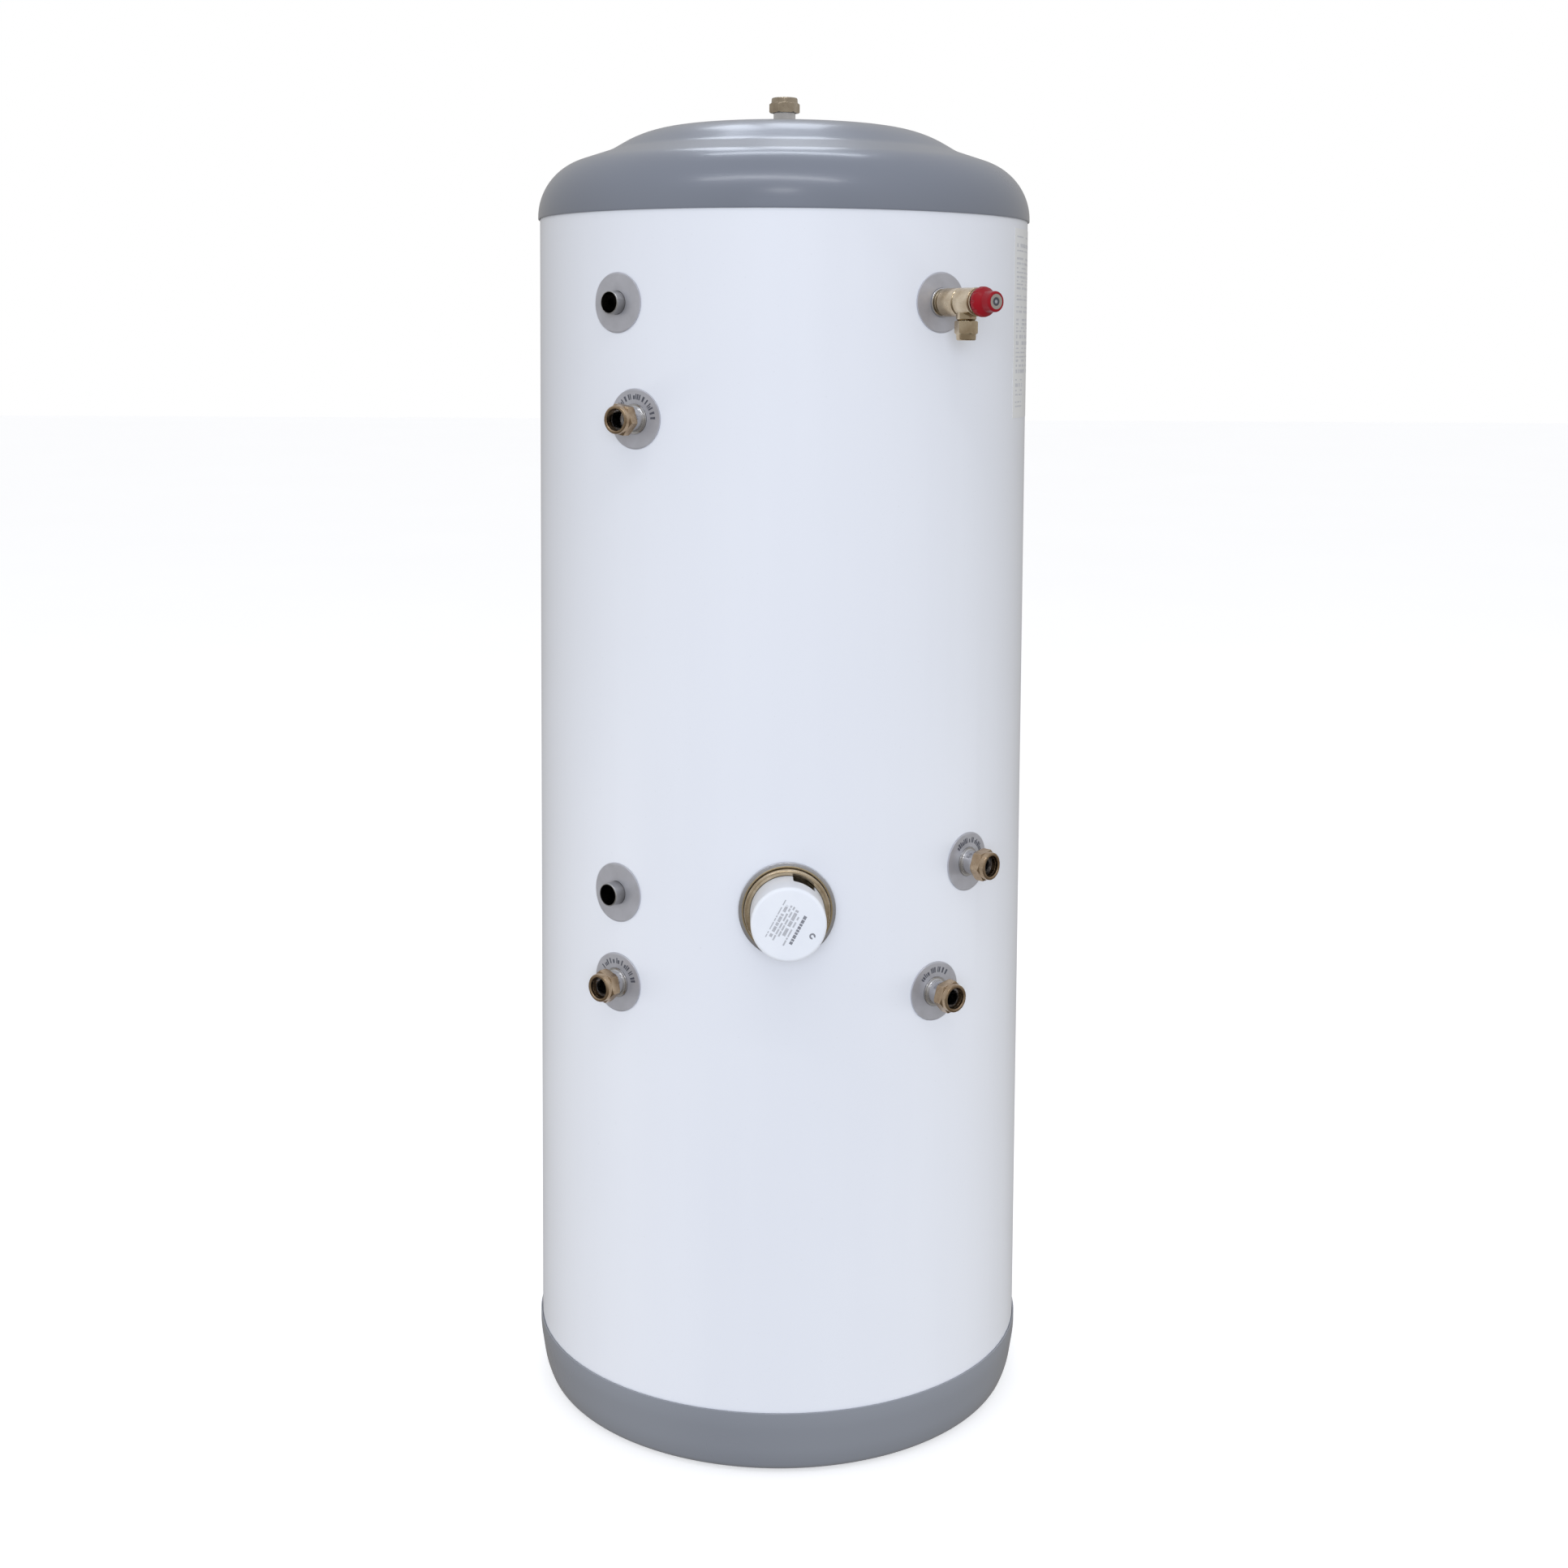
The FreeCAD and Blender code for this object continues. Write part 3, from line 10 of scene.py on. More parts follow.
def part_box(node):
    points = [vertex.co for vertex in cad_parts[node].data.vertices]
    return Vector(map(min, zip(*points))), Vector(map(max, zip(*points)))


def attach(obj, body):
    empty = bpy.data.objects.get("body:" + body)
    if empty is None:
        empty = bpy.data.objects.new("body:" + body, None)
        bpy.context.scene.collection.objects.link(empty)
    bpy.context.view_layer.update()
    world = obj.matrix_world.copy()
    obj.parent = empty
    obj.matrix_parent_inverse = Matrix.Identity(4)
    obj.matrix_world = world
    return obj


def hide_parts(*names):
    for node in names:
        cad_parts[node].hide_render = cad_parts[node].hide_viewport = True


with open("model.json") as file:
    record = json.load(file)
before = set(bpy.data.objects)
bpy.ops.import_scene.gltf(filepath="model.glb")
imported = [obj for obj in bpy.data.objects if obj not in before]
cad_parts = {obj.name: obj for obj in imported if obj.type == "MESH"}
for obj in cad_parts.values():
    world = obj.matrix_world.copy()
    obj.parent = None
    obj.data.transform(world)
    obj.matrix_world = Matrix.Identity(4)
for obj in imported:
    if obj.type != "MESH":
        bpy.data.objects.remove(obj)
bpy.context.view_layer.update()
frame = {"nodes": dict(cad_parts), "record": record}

# Looks of the hot water cylinder. Metres. +Z is up, the immersion heater faces -Y, and an
# azimuth is counted in degrees from -Y towards +X, as in the CAD.

scene = bpy.context.scene
nodes = frame["nodes"]

# Places and sizes that materials and pieces share, on the CAD's faces.
CASING_RADIUS = 0.2750
LABEL_FACE = CASING_RADIUS + 0.0003
COVER_CENTRE = 0.6095
COVER_FACE = 0.3330
# Where the painted reflection of the brass heater head ends on the trim, measured from the cover's
# centre.
BRASS_REFLECTION_START = 0.0464
BRASS_REFLECTION_END = 0.0473


# ---------------------------------------------------------------- camera

CAMERA_AZIMUTH = -1.57
CAMERA_DISTANCE = 2.4128
CAMERA_HEIGHT = 1.1939
CAMERA_YAW = 0.049
CAMERA_PITCH = 4.448
CAMERA_ROLL = 0.345
SENSOR_MM = 36.0
LENS_MM = 48.45093
LENS_SHIFT = -0.177536
CLIP_NEAR = 0.01
CLIP_FAR = 200.0


def outward(azimuth):
    """The level direction away from the tank's axis at an azimuth."""
    angle = math.radians(azimuth)
    return Vector((math.sin(angle), -math.cos(angle), 0.0))


def make_camera():
    """The camera in front of the heater, above its middle and turned a little down."""
    lens = bpy.data.cameras.new("camera")
    lens.sensor_width = SENSOR_MM
    lens.lens = LENS_MM
    lens.shift_y = LENS_SHIFT
    lens.clip_start = CLIP_NEAR
    lens.clip_end = CLIP_FAR
    camera = bpy.data.objects.new("camera", lens)
    scene.collection.objects.link(camera)
    yaw, pitch = math.radians(CAMERA_YAW), math.radians(CAMERA_PITCH)
    ahead = Vector((
        math.sin(yaw) * math.cos(pitch), math.cos(yaw) * math.cos(pitch), -math.sin(pitch)
    ))
    ahead.rotate(Matrix.Rotation(math.radians(CAMERA_AZIMUTH), 3, "Z"))
    turn = ahead.to_track_quat("-Z", "Y").to_matrix().to_4x4()
    roll = Matrix.Rotation(math.radians(CAMERA_ROLL), 4, "Z")
    spot = outward(CAMERA_AZIMUTH) * CAMERA_DISTANCE + Vector((0, 0, CAMERA_HEIGHT))
    camera.matrix_world = Matrix.Translation(spot) @ turn @ roll
    scene.camera = camera


make_camera()


# ---------------------------------------------------------------- materials

class Look:
    """A material being built, with short ways to add its nodes."""

    def __init__(self, name, color, roughness, metallic=0.0, **sockets):
        self.material = bpy.data.materials.new(name)
        self.material.use_nodes = True
        self.tree = self.material.node_tree
        self.shader = self.tree.nodes["Principled BSDF"]
        self.shader.inputs["Base Color"].default_value = (*color, 1.0)
        self.shader.inputs["Roughness"].default_value = roughness
        self.shader.inputs["Metallic"].default_value = metallic
        for socket, value in sockets.items():
            self.shader.inputs[socket.replace("_", " ")].default_value = value
        self.place = self.add("ShaderNodeTexCoord").outputs["Object"]

    def add(self, kind, links=None, **settings):
        """A node with its settings, and its inputs linked or set."""
        node = self.tree.nodes.new(kind)
        for key, value in settings.items():
            setattr(node, key, value)
        for key, value in (links or {}).items():
            if isinstance(value, bpy.types.NodeSocket):
                self.tree.links.new(value, node.inputs[key])
            else:
                node.inputs[key].default_value = value
        return node

    def set(self, socket, source):
        """Link a source to one of the shader's sockets."""
        self.tree.links.new(source, self.shader.inputs[socket])

    def noise(self, scale, detail=3.0, stretch=(1.0, 1.0, 1.0), rough=0.55, place=None):
        """A noise pattern, 0 to 1, stretched along the axes."""
        moved = self.add(
            "ShaderNodeMapping", {"Vector": place or self.place, "Scale": stretch}
        ).outputs["Vector"]
        return self.add(
            "ShaderNodeTexNoise",
            {"Vector": moved, "Scale": scale, "Detail": detail, "Roughness": rough},
        ).outputs["Fac"]

    def math(self, operation, first, second=0.0, clamp=False):
        """One step of arithmetic."""
        return self.add(
            "ShaderNodeMath", {0: first, 1: second}, operation=operation, use_clamp=clamp
        ).outputs["Value"]

    def remap(self, source, low, high, to_low, to_high):
        """A source's range mapped to another, and clamped."""
        return self.add("ShaderNodeMapRange", {
            "Value": source, "From Min": low, "From Max": high, "To Min": to_low, "To Max": to_high,
        }).outputs["Result"]

    def mix(self, share, first, second):
        """Two colours mixed."""
        node = self.add("ShaderNodeMix", data_type="RGBA")
        for index, value in ((0, share), (6, first), (7, second)):
            if isinstance(value, bpy.types.NodeSocket):
                self.tree.links.new(value, node.inputs[index])
            else:
                node.inputs[index].default_value = value if index == 0 else (*value, 1.0)
        return node.outputs[2]

    def bump(self, height, depth, strength=1.0, normal=None):
        """Relief from a height pattern, its depth in metres."""
        links = {"Height": height, "Strength": strength, "Distance": depth}
        if normal:
            links["Normal"] = normal
        return self.add("ShaderNodeBump", links).outputs["Normal"]

    def rounded_edges(self, radius):
        """Normals rounded over sharp edges."""
        return self.add("ShaderNodeBevel", {"Radius": radius}, samples=6).outputs["Normal"]

    def edge_wear_and_glint(self, radius):
        """A pattern that is 1 on sharp edges and 0 on flats."""
        flat = self.add("ShaderNodeNewGeometry").outputs["Normal"]
        together = self.add(
            "ShaderNodeVectorMath", {0: self.rounded_edges(radius), 1: flat}, operation="DOT_PRODUCT"
        ).outputs["Value"]
        return self.remap(together, 0.995, 0.86, 0.0, 1.0)

    def hollows(self, distance):
        """A pattern that is 1 in the open and falls to 0 in corners and bores."""
        return self.add(
            "ShaderNodeAmbientOcclusion", {"Distance": distance}, samples=8
        ).outputs["AO"]

    def from_axis(self):
        """The distance from the tank's axis, which runs along every side fitting."""
        level = self.add(
            "ShaderNodeVectorMath", {0: self.place, 1: (1.0, 1.0, 0.0)}, operation="MULTIPLY"
        ).outputs["Vector"]
        return self.add("ShaderNodeVectorMath", {0: level}, operation="LENGTH").outputs["Value"]

    def away_from(self, spot):
        """The distance from a point."""
        return self.add(
            "ShaderNodeVectorMath", {0: self.place, 1: spot}, operation="DISTANCE"
        ).outputs["Value"]


def casing_paint():
    """White stoved enamel on rolled sheet: faint rolling streaks, orange peel and a little dust."""
    look = Look("casing_paint", (0.80, 0.82, 0.87), 0.34, Coat_Weight=0.25, Coat_Roughness=0.16)
    streaks = look.noise(16.0, 3.0, (1.0, 1.0, 0.05))
    clouds = look.noise(2.2, 4.0)
    tone = look.math("ADD", look.math("MULTIPLY", streaks, 0.4), look.math("MULTIPLY", clouds, 0.6))
    color = look.mix(look.remap(tone, 0.3, 0.7, 0.0, 1.0), (0.80, 0.815, 0.855), (0.835, 0.85, 0.885))
    specks = look.remap(look.noise(420.0, 2.0, rough=0.7), 0.70, 0.76, 0.0, 0.35)
    look.set("Base Color", look.mix(specks, color, (0.62, 0.62, 0.62)))
    look.set("Roughness", look.remap(look.noise(7.0, 5.0), 0.3, 0.7, 0.30, 0.40))
    peel = look.noise(620.0, 2.0)
    dents = look.noise(3.4, 2.0, (1.0, 1.0, 0.5))
    relief = look.bump(peel, 0.00003, 0.5, look.bump(dents, 0.0012, 0.35))
    look.set("Normal", relief)
    return look.material


def lid_plastic(name, dark, light):
    """Silver grey vacuum-formed plastic, glossy, with slow waves and a fine grain."""
    look = Look(name, light, 0.30, 0.2, Coat_Weight=0.55, Coat_Roughness=0.16)
    look.set("Base Color", look.mix(look.remap(look.noise(4.0, 1.0), 0.3, 0.7, 0.0, 1.0), dark, light))
    look.set("Roughness", look.remap(look.noise(5.0, 1.0), 0.3, 0.7, 0.27, 0.32))
    waves = look.noise(7.0, 1.0, (1.0, 1.0, 1.6))
    grain = look.noise(900.0, 2.0)
    look.set("Normal", look.bump(grain, 0.00004, 0.35, look.bump(waves, 0.0009, 0.30)))
    return look.material


def satin_plastic(name, dark, light, roughness, metallic, grain):
    """Moulded satin plastic with a fine spark-eroded grain, edges made paler by wear and a painted
    highlight, and painted shade in its corners.
    """
    look = Look(name, light, roughness, metallic)
    color = look.mix(look.remap(look.noise(60.0, 5.0), 0.3, 0.7, 0.0, 1.0), dark, light)
    # Paler edges: partly wear, partly a painted highlight along the edges.
    rubbed_and_glinting = tuple(min(1.0, channel * 1.35) for channel in light)
    color = look.mix(look.math("MULTIPLY", look.edge_wear_and_glint(0.0006), 0.5), color, rubbed_and_glinting)
    # Painted shade: the plastic darkens towards a shaded tone in corners and hollows found by ambient
    # occlusion.
    corner_shade = look.remap(look.hollows(0.006), 0.35, 0.9, 0.35, 0.0)
    shade = tuple(channel * 0.55 for channel in dark)
    look.set("Base Color", look.mix(corner_shade, color, shade))
    look.set(
        "Roughness", look.remap(look.noise(140.0, 4.0), 0.3, 0.7, roughness - 0.05, roughness + 0.08)
    )
    pits = look.noise(2600.0, 2.0)
    look.set("Normal", look.bump(pits, grain, 0.5, look.rounded_edges(0.0004)))
    return look.material


def trim_metal():
    """Plated moulding under the heater's cover: smooth bright steel with a painted reflection of the
    brass head along its inner edge.
    """
    look = Look("trim_metal", (0.62, 0.62, 0.64), 0.22, 0.9)
    across = look.add(
        "ShaderNodeVectorMath", {0: look.place, 1: (1.0, 0.0, 1.0)}, operation="MULTIPLY"
    ).outputs["Vector"]
    away = look.add(
        "ShaderNodeVectorMath", {0: across, 1: (0.0, 0.0, COVER_CENTRE)}, operation="DISTANCE"
    ).outputs["Value"]
    haze = look.remap(look.noise(50.0, 3.0), 0.3, 0.7, 0.0, 1.0)
    plate = look.mix(haze, (0.58, 0.58, 0.60), (0.66, 0.66, 0.68))
    # Painted reflection: the trim's inner edge is coloured gold as if it reflected the brass head.
    brass_reflection = look.remap(away, BRASS_REFLECTION_START, BRASS_REFLECTION_END, 1.0, 0.0)
    look.set("Base Color", look.mix(brass_reflection, plate, (0.62, 0.50, 0.30)))
    look.set("Roughness", look.remap(look.noise(140.0, 3.0), 0.3, 0.7, 0.19, 0.26))
    look.set("Normal", look.bump(look.noise(30.0, 1.0), 0.0001, 0.3, look.rounded_edges(0.0008)))
    return look.material


def stainless(name, light, roughness, turned=True, bore=0.004, groove=0.00002):
    """Stainless steel: turning rings along the fitting, or a rolled grain round the tank, with painted
    shade in its bores and corners.
    """
    look = Look(name, (light, light, light * 1.01), roughness, 1.0)
    along = look.from_axis() if turned else look.math("MULTIPLY", look.noise(5.0, 2.0), 0.02)
    rings_place = look.add("ShaderNodeCombineXYZ", {"X": along}).outputs["Vector"]
    rings = look.noise(2600.0 if turned else 300.0, 3.0, place=rings_place)
    haze = look.noise(120.0, 5.0)
    color = look.mix(
        look.remap(haze, 0.3, 0.7, 0.0, 1.0), (light * 0.86, light * 0.86, light * 0.87),
        (light, light, light * 1.01),
    )
    # Painted shade: the steel darkens in bores and corners found by ambient occlusion, to near black
    # where the reach is long.
    hollow_shade = look.remap(look.hollows(bore), 0.25, 0.85, 0.5 if bore < 0.01 else 1.0, 0.0)
    look.set("Base Color", look.mix(hollow_shade, color, (0.13, 0.12, 0.11)))
    look.set("Roughness", look.remap(rings, 0.3, 0.7, roughness - 0.06, roughness + 0.10))
    look.set("Normal", look.bump(rings, groove, 0.6, look.rounded_edges(0.0004)))
    return look.material


def brass(name, dark, light, roughness, grain=0.00003):
    """Machined brass, dulled brown by handling, brighter on its edges from wear and a painted highlight,
    with painted shade in its hollows.
    """
    look = Look(name, light, roughness, 1.0)
    patches = look.remap(look.noise(70.0, 2.0), 0.30, 0.70, 0.0, 1.0)
    color = look.mix(patches, dark, light)
    spots = look.remap(look.noise(380.0, 2.0), 0.62, 0.76, 0.0, 0.35)
    color = look.mix(spots, color, tuple(channel * 0.55 for channel in dark))
    # Brighter edges: partly wear, partly a painted highlight.
    bright = tuple(min(1.0, channel * 1.5) for channel in light)
    color = look.mix(look.math("MULTIPLY", look.edge_wear_and_glint(0.0005), 0.7), color, bright)
    # Painted shade: dark brown in hollows and bores found by ambient occlusion.
    hollow_shade = look.remap(look.hollows(0.003), 0.2, 0.8, 0.6, 0.0)
    look.set("Base Color", look.mix(hollow_shade, color, (0.09, 0.06, 0.04)))
    look.set(
        "Roughness", look.remap(look.noise(160.0, 5.0), 0.3, 0.7, roughness - 0.08, roughness + 0.12)
    )
    marks = look.noise(700.0, 4.0, rough=0.7)
    look.set("Normal", look.bump(marks, grain, 0.4, look.rounded_edges(0.0005)))
    return look.material


def glossy_plastic(name, dark, light, roughness, coat=0.3, **sockets):
    """Moulded gloss plastic with slow colour drift and hairline scratches."""
    look = Look(name, light, roughness, 0.0, Coat_Weight=coat, Coat_Roughness=0.1, **sockets)
    drift = look.remap(look.noise(35.0, 4.0), 0.3, 0.7, 0.0, 1.0)
    look.set("Base Color", look.mix(drift, dark, light))
    scratches = look.noise(180.0, 6.0, (1.0, 1.0, 9.0), 0.7)
    look.set("Roughness", look.remap(scratches, 0.35, 0.7, roughness - 0.04, roughness + 0.10))
    ripple = look.noise(90.0, 2.0)
    look.set("Normal", look.bump(ripple, 0.0002, 0.25, look.rounded_edges(0.0004)))
    return look.material


def badge_plastic():
    """The relief cap's end: a pale printed ring round a dark sunk middle."""
    low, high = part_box("relief_cap_badge")
    middle = (Vector(low) + Vector(high)) / 2
    look = Look("badge_plastic", (0.5, 0.5, 0.52), 0.35)
    away = look.away_from(tuple(middle))
    spread = look.math("ADD", away, look.math("MULTIPLY", look.noise(900.0, 2.0), 0.0004))
    color = look.mix(look.remap(spread, 0.0042, 0.0048, 0.0, 1.0), (0.06, 0.06, 0.07), (0.30, 0.27, 0.23))
    color = look.mix(look.remap(spread, 0.0018, 0.0023, 1.0, 0.0), color, (0.33, 0.33, 0.34))
    look.set("Base Color", color)
    look.set("Roughness", look.remap(look.noise(300.0, 3.0), 0.3, 0.7, 0.28, 0.42))
    look.set("Normal", look.bump(look.noise(1500.0, 2.0), 0.00003, 0.5, look.rounded_edges(0.0003)))
    return look.material


def label_film():
    """Printed self-adhesive film, a little yellowed, with faint bubbles."""
    look = Look("label_film", (0.66, 0.66, 0.65), 0.32, Coat_Weight=0.2, Coat_Roughness=0.2)
    blotches = look.remap(look.noise(14.0, 4.0), 0.3, 0.7, 0.0, 1.0)
    look.set("Base Color", look.mix(blotches, (0.81, 0.81, 0.79), (0.85, 0.85, 0.84)))
    look.set("Roughness", look.remap(look.noise(40.0, 3.0), 0.3, 0.7, 0.28, 0.40))
    look.set("Normal", look.bump(look.noise(60.0, 2.0), 0.0003, 0.3))
    return look.material


def print_ink(name, color, fade=0.35):
    """Screen-printed ink, worn thin in places."""
    look = Look(name, color, 0.45)
    worn = look.remap(look.noise(420.0, 4.0, rough=0.7), 0.42, 0.66, 0.0, fade)
    look.set("Base Color", look.mix(worn, color, tuple(min(1.0, c + 0.35) for c in color)))
    look.set("Roughness", look.remap(look.noise(300.0, 3.0), 0.3, 0.7, 0.38, 0.55))
    look.set("Normal", look.bump(look.noise(1800.0, 2.0), 0.00002, 0.4))
    return look.material


def foam():
    """Sprayed polyurethane foam: yellow skin with burst cells."""
    look = Look("polyurethane_foam", (0.82, 0.70, 0.40), 0.85, Subsurface_Weight=0.1)
    cells = look.add(
        "ShaderNodeTexVoronoi", {"Vector": look.place, "Scale": 260.0}
    ).outputs["Distance"]
    look.set("Base Color", look.mix(
        look.remap(look.noise(9.0, 5.0), 0.3, 0.7, 0.0, 1.0), (0.74, 0.58, 0.28), (0.86, 0.76, 0.48)
    ))
    look.set("Roughness", look.remap(cells, 0.0, 0.6, 0.95, 0.75))
    look.set("Normal", look.bump(cells, 0.002, 0.6))
    return look.material


def bead_foam():
    """Moulded polystyrene: packed white beads."""
    look = Look("polystyrene", (0.88, 0.89, 0.90), 0.7, Subsurface_Weight=0.15)
    beads = look.add(
        "ShaderNodeTexVoronoi", {"Vector": look.place, "Scale": 240.0}, feature="DISTANCE_TO_EDGE"
    ).outputs["Distance"]
    look.set("Base Color", look.mix(
        look.remap(beads, 0.0, 0.12, 0.0, 1.0), (0.66, 0.67, 0.69), (0.90, 0.91, 0.92)
    ))
    look.set("Roughness", look.remap(beads, 0.0, 0.3, 0.85, 0.6))
    look.set("Normal", look.bump(beads, 0.001, 0.7))
    return look.material


def dark_paint():
    """Black chassis paint with chips."""
    look = Look("ring_paint", (0.03, 0.03, 0.032), 0.5)
    chips = look.remap(look.noise(160.0, 5.0, rough=0.7), 0.64, 0.70, 0.0, 1.0)
    look.set("Base Color", look.mix(chips, (0.028, 0.028, 0.03), (0.30, 0.22, 0.17)))
    look.set("Roughness", look.remap(look.noise(80.0, 4.0), 0.3, 0.7, 0.4, 0.65))
    look.set("Normal", look.bump(look.noise(500.0, 3.0), 0.0001, 0.5))
    return look.material


def rubber(name, dark, light):
    """Moulded rubber or fibre, matte and lightly dusted."""
    look = Look(name, light, 0.75)
    look.set("Base Color", look.mix(
        look.remap(look.noise(300.0, 4.0), 0.3, 0.7, 0.0, 1.0), dark, light
    ))
    look.set("Roughness", look.remap(look.noise(500.0, 3.0), 0.3, 0.7, 0.65, 0.9))
    look.set("Normal", look.bump(look.noise(1200.0, 3.0), 0.0001, 0.6))
    return look.material


turned_steel = stainless("turned_stainless", 0.85, 0.16, groove=0.00001)
rolled_steel = stainless("rolled_stainless", 0.66, 0.30, turned=False)
tan_brass = brass("tan_brass", (0.35, 0.24, 0.145), (0.57, 0.435, 0.29), 0.24, grain=0.00002)
worn_brass = brass("worn_brass", (0.46, 0.38, 0.28), (0.66, 0.57, 0.44), 0.22, grain=0.00002)
valve_brass = brass("valve_brass", (0.55, 0.43, 0.28), (0.80, 0.67, 0.48), 0.20)
disc_plastic = satin_plastic(
    "disc_plastic", (0.57, 0.57, 0.60), (0.65, 0.65, 0.69), roughness=0.33, metallic=0.6, grain=0.00001
)

lid_grey = lid_plastic("lid_plastic", (0.195, 0.212, 0.250), (0.222, 0.240, 0.280))
# The base lid is the same plastic as the top lid; this paler copy is painted light that lifts its tone.
lightened_lid_grey = lid_plastic("lid_plastic_lightened", (0.282, 0.298, 0.332), (0.314, 0.331, 0.366))
# The sensor pockets take a long shade reach, so their bores are painted near black.
pocket_steel = stainless("pocket_steel", 0.62, 0.16, bore=0.022)

BY_SLOT = {
    "casing_paint": casing_paint(),
    "lid_plastic": lid_grey,
    "label_paper": label_film(),
    "foam": foam(),
    "base_foam": bead_foam(),
    "support_steel": dark_paint(),
    "stainless": rolled_steel,
    "bright_stainless": turned_steel,
    "brass": tan_brass,
    "escutcheon_plastic": disc_plastic,
    "trim_plastic": trim_metal(),
    "red_plastic": glossy_plastic(
        "red_plastic", (0.25, 0.002, 0.008), (0.33, 0.004, 0.012), 0.32, coat=0.0, Specular_IOR_Level=0.3
    ),
    "badge_plastic": badge_plastic(),
    "spring_steel": stainless("spring_steel", 0.50, 0.28),
    "seal_rubber": rubber("seal_rubber", (0.015, 0.015, 0.016), (0.035, 0.034, 0.033)),
    "fibre_washer": rubber("fibre_washer", (0.24, 0.06, 0.035), (0.40, 0.12, 0.07)),
    "element_sheath": stainless("element_sheath", 0.40, 0.42),
    "stat_plastic": glossy_plastic("stat_plastic", (0.015, 0.015, 0.017), (0.03, 0.03, 0.033), 0.42),
    "dial_plastic": glossy_plastic("dial_plastic", (0.74, 0.74, 0.72), (0.82, 0.82, 0.80), 0.35),
    "button_plastic": glossy_plastic("button_plastic", (0.45, 0.012, 0.012), (0.58, 0.02, 0.02), 0.3),
    "cover_plastic": glossy_plastic("cover_plastic", (0.84, 0.86, 0.90), (0.88, 0.90, 0.93), 0.36),
}
VALVE_NODES = ("relief_valve_body", "relief_drain_nut", "relief_bonnet", "relief_stem", "immersion_head")
POCKET_NODES = ("upper_sensor_pocket", "lower_sensor_pocket")

for part in frame["record"]["subparts"]:
    surface = BY_SLOT[part["material_slot"]]
    if part["node"] in VALVE_NODES:
        surface = valve_brass
    if part["node"] == "hot_outlet_nut":
        surface = worn_brass
    if part["node"] in POCKET_NODES:
        surface = pocket_steel
    mesh = nodes[part["node"]].data
    mesh.materials.clear()
    mesh.materials.append(surface)


# ---------------------------------------------------------------- new pieces

def finish_piece(name, mesh_builder, material, body):
    """Turn a bmesh into a piece that rides on a body."""
    mesh = bpy.data.meshes.new(name)
    bmesh.ops.recalc_face_normals(mesh_builder, faces=mesh_builder.faces)
    mesh_builder.to_mesh(mesh)
    mesh_builder.free()
    mesh.materials.append(material)
    piece = bpy.data.objects.new(name, mesh)
    scene.collection.objects.link(piece)
    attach(piece, body)
    return piece


def add_block(builder, corners_at, across, along, low, high, steps=1):
    """A thin curved block: corners_at gives a point from (across, along, height) values."""
    rows = []
    for k in range(steps + 1):
        here = across[0] + (across[1] - across[0]) * k / steps
        rows.append([
            builder.verts.new(corners_at(here, along[0], low)),
            builder.verts.new(corners_at(here, along[1], low)),
            builder.verts.new(corners_at(here, along[1], high)),
            builder.verts.new(corners_at(here, along[0], high)),
        ])
    for first, second in zip(rows, rows[1:]):
        for k in range(4):
            builder.faces.new((first[k], first[(k + 1) % 4], second[(k + 1) % 4], second[k]))
    builder.faces.new(rows[0][::-1])
    builder.faces.new(rows[-1])


LID_RADIUS = 0.277
LID_WALL = 0.0016
LID_SEAM = 1.328
LID_HOLE = 0.0158
BASE_SEAM = 0.0707
TURNED_STEPS = 240


def rounded_profile(corners):
    """Points along a profile of (radius, height, round) corners, with every round divided."""
    points = [Vector(corners[0][:2])]
    for before, corner, after in zip(corners, corners[1:], corners[2:]):
        spot = Vector(corner[:2])
        back = (Vector(before[:2]) - spot).normalized()
        ahead = (Vector(after[:2]) - spot).normalized()
        half = back.angle(ahead) / 2
        reach = corner[2] / math.tan(half)
        centre = spot + (back + ahead).normalized() * (corner[2] / math.sin(half))
        first = spot + back * reach - centre
        last = spot + ahead * reach - centre
        turn = first.angle_signed(last)
        steps = max(4, math.ceil(abs(math.degrees(turn)) / 3))
        for k in range(steps + 1):
            points.append(centre + Matrix.Rotation(-turn * k / steps, 2) @ first)
    points.append(Vector(corners[-1][:2]))
    return points


def lid_shell(name, node, corners, lip_turn, material):
    """A turned shell with a rounded lip, as thick as the lid's wall inwards from its profile."""
    outside = rounded_profile(corners)
    inside = []
    for k, point in enumerate(outside):
        along = (outside[min(k + 1, len(outside) - 1)] - outside[max(k - 1, 0)]).normalized()
        inside.append(point + Vector((along.y, -along.x)) * LID_WALL * lip_turn)
    middle = (outside[-1] + inside[-1]) / 2
    lip = []
    for k in range(1, 8):
        angle = math.pi * k / 8
        out = math.cos(angle) * LID_WALL / 2
        lip.append(middle + Vector((out, -math.sin(angle) * LID_WALL / 2 * lip_turn)))
    profile = outside + lip + inside[::-1]
    builder = bmesh.new()
    rings = []
    for k in range(TURNED_STEPS):
        angle = 2 * math.pi * k / TURNED_STEPS
        across, along = math.cos(angle), math.sin(angle)
        rings.append([builder.verts.new((p.x * across, p.x * along, p.y)) for p in profile])
    for first, second in zip(rings, rings[1:] + rings[:1]):
        for k in range(len(profile)):
            after = (k + 1) % len(profile)
            builder.faces.new((first[k], second[k], second[after], first[after])).smooth = True
    bmesh.ops.remove_doubles(builder, verts=builder.verts, dist=1e-7)
    piece = finish_piece(name, builder, material, "cylinder")
    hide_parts(node)


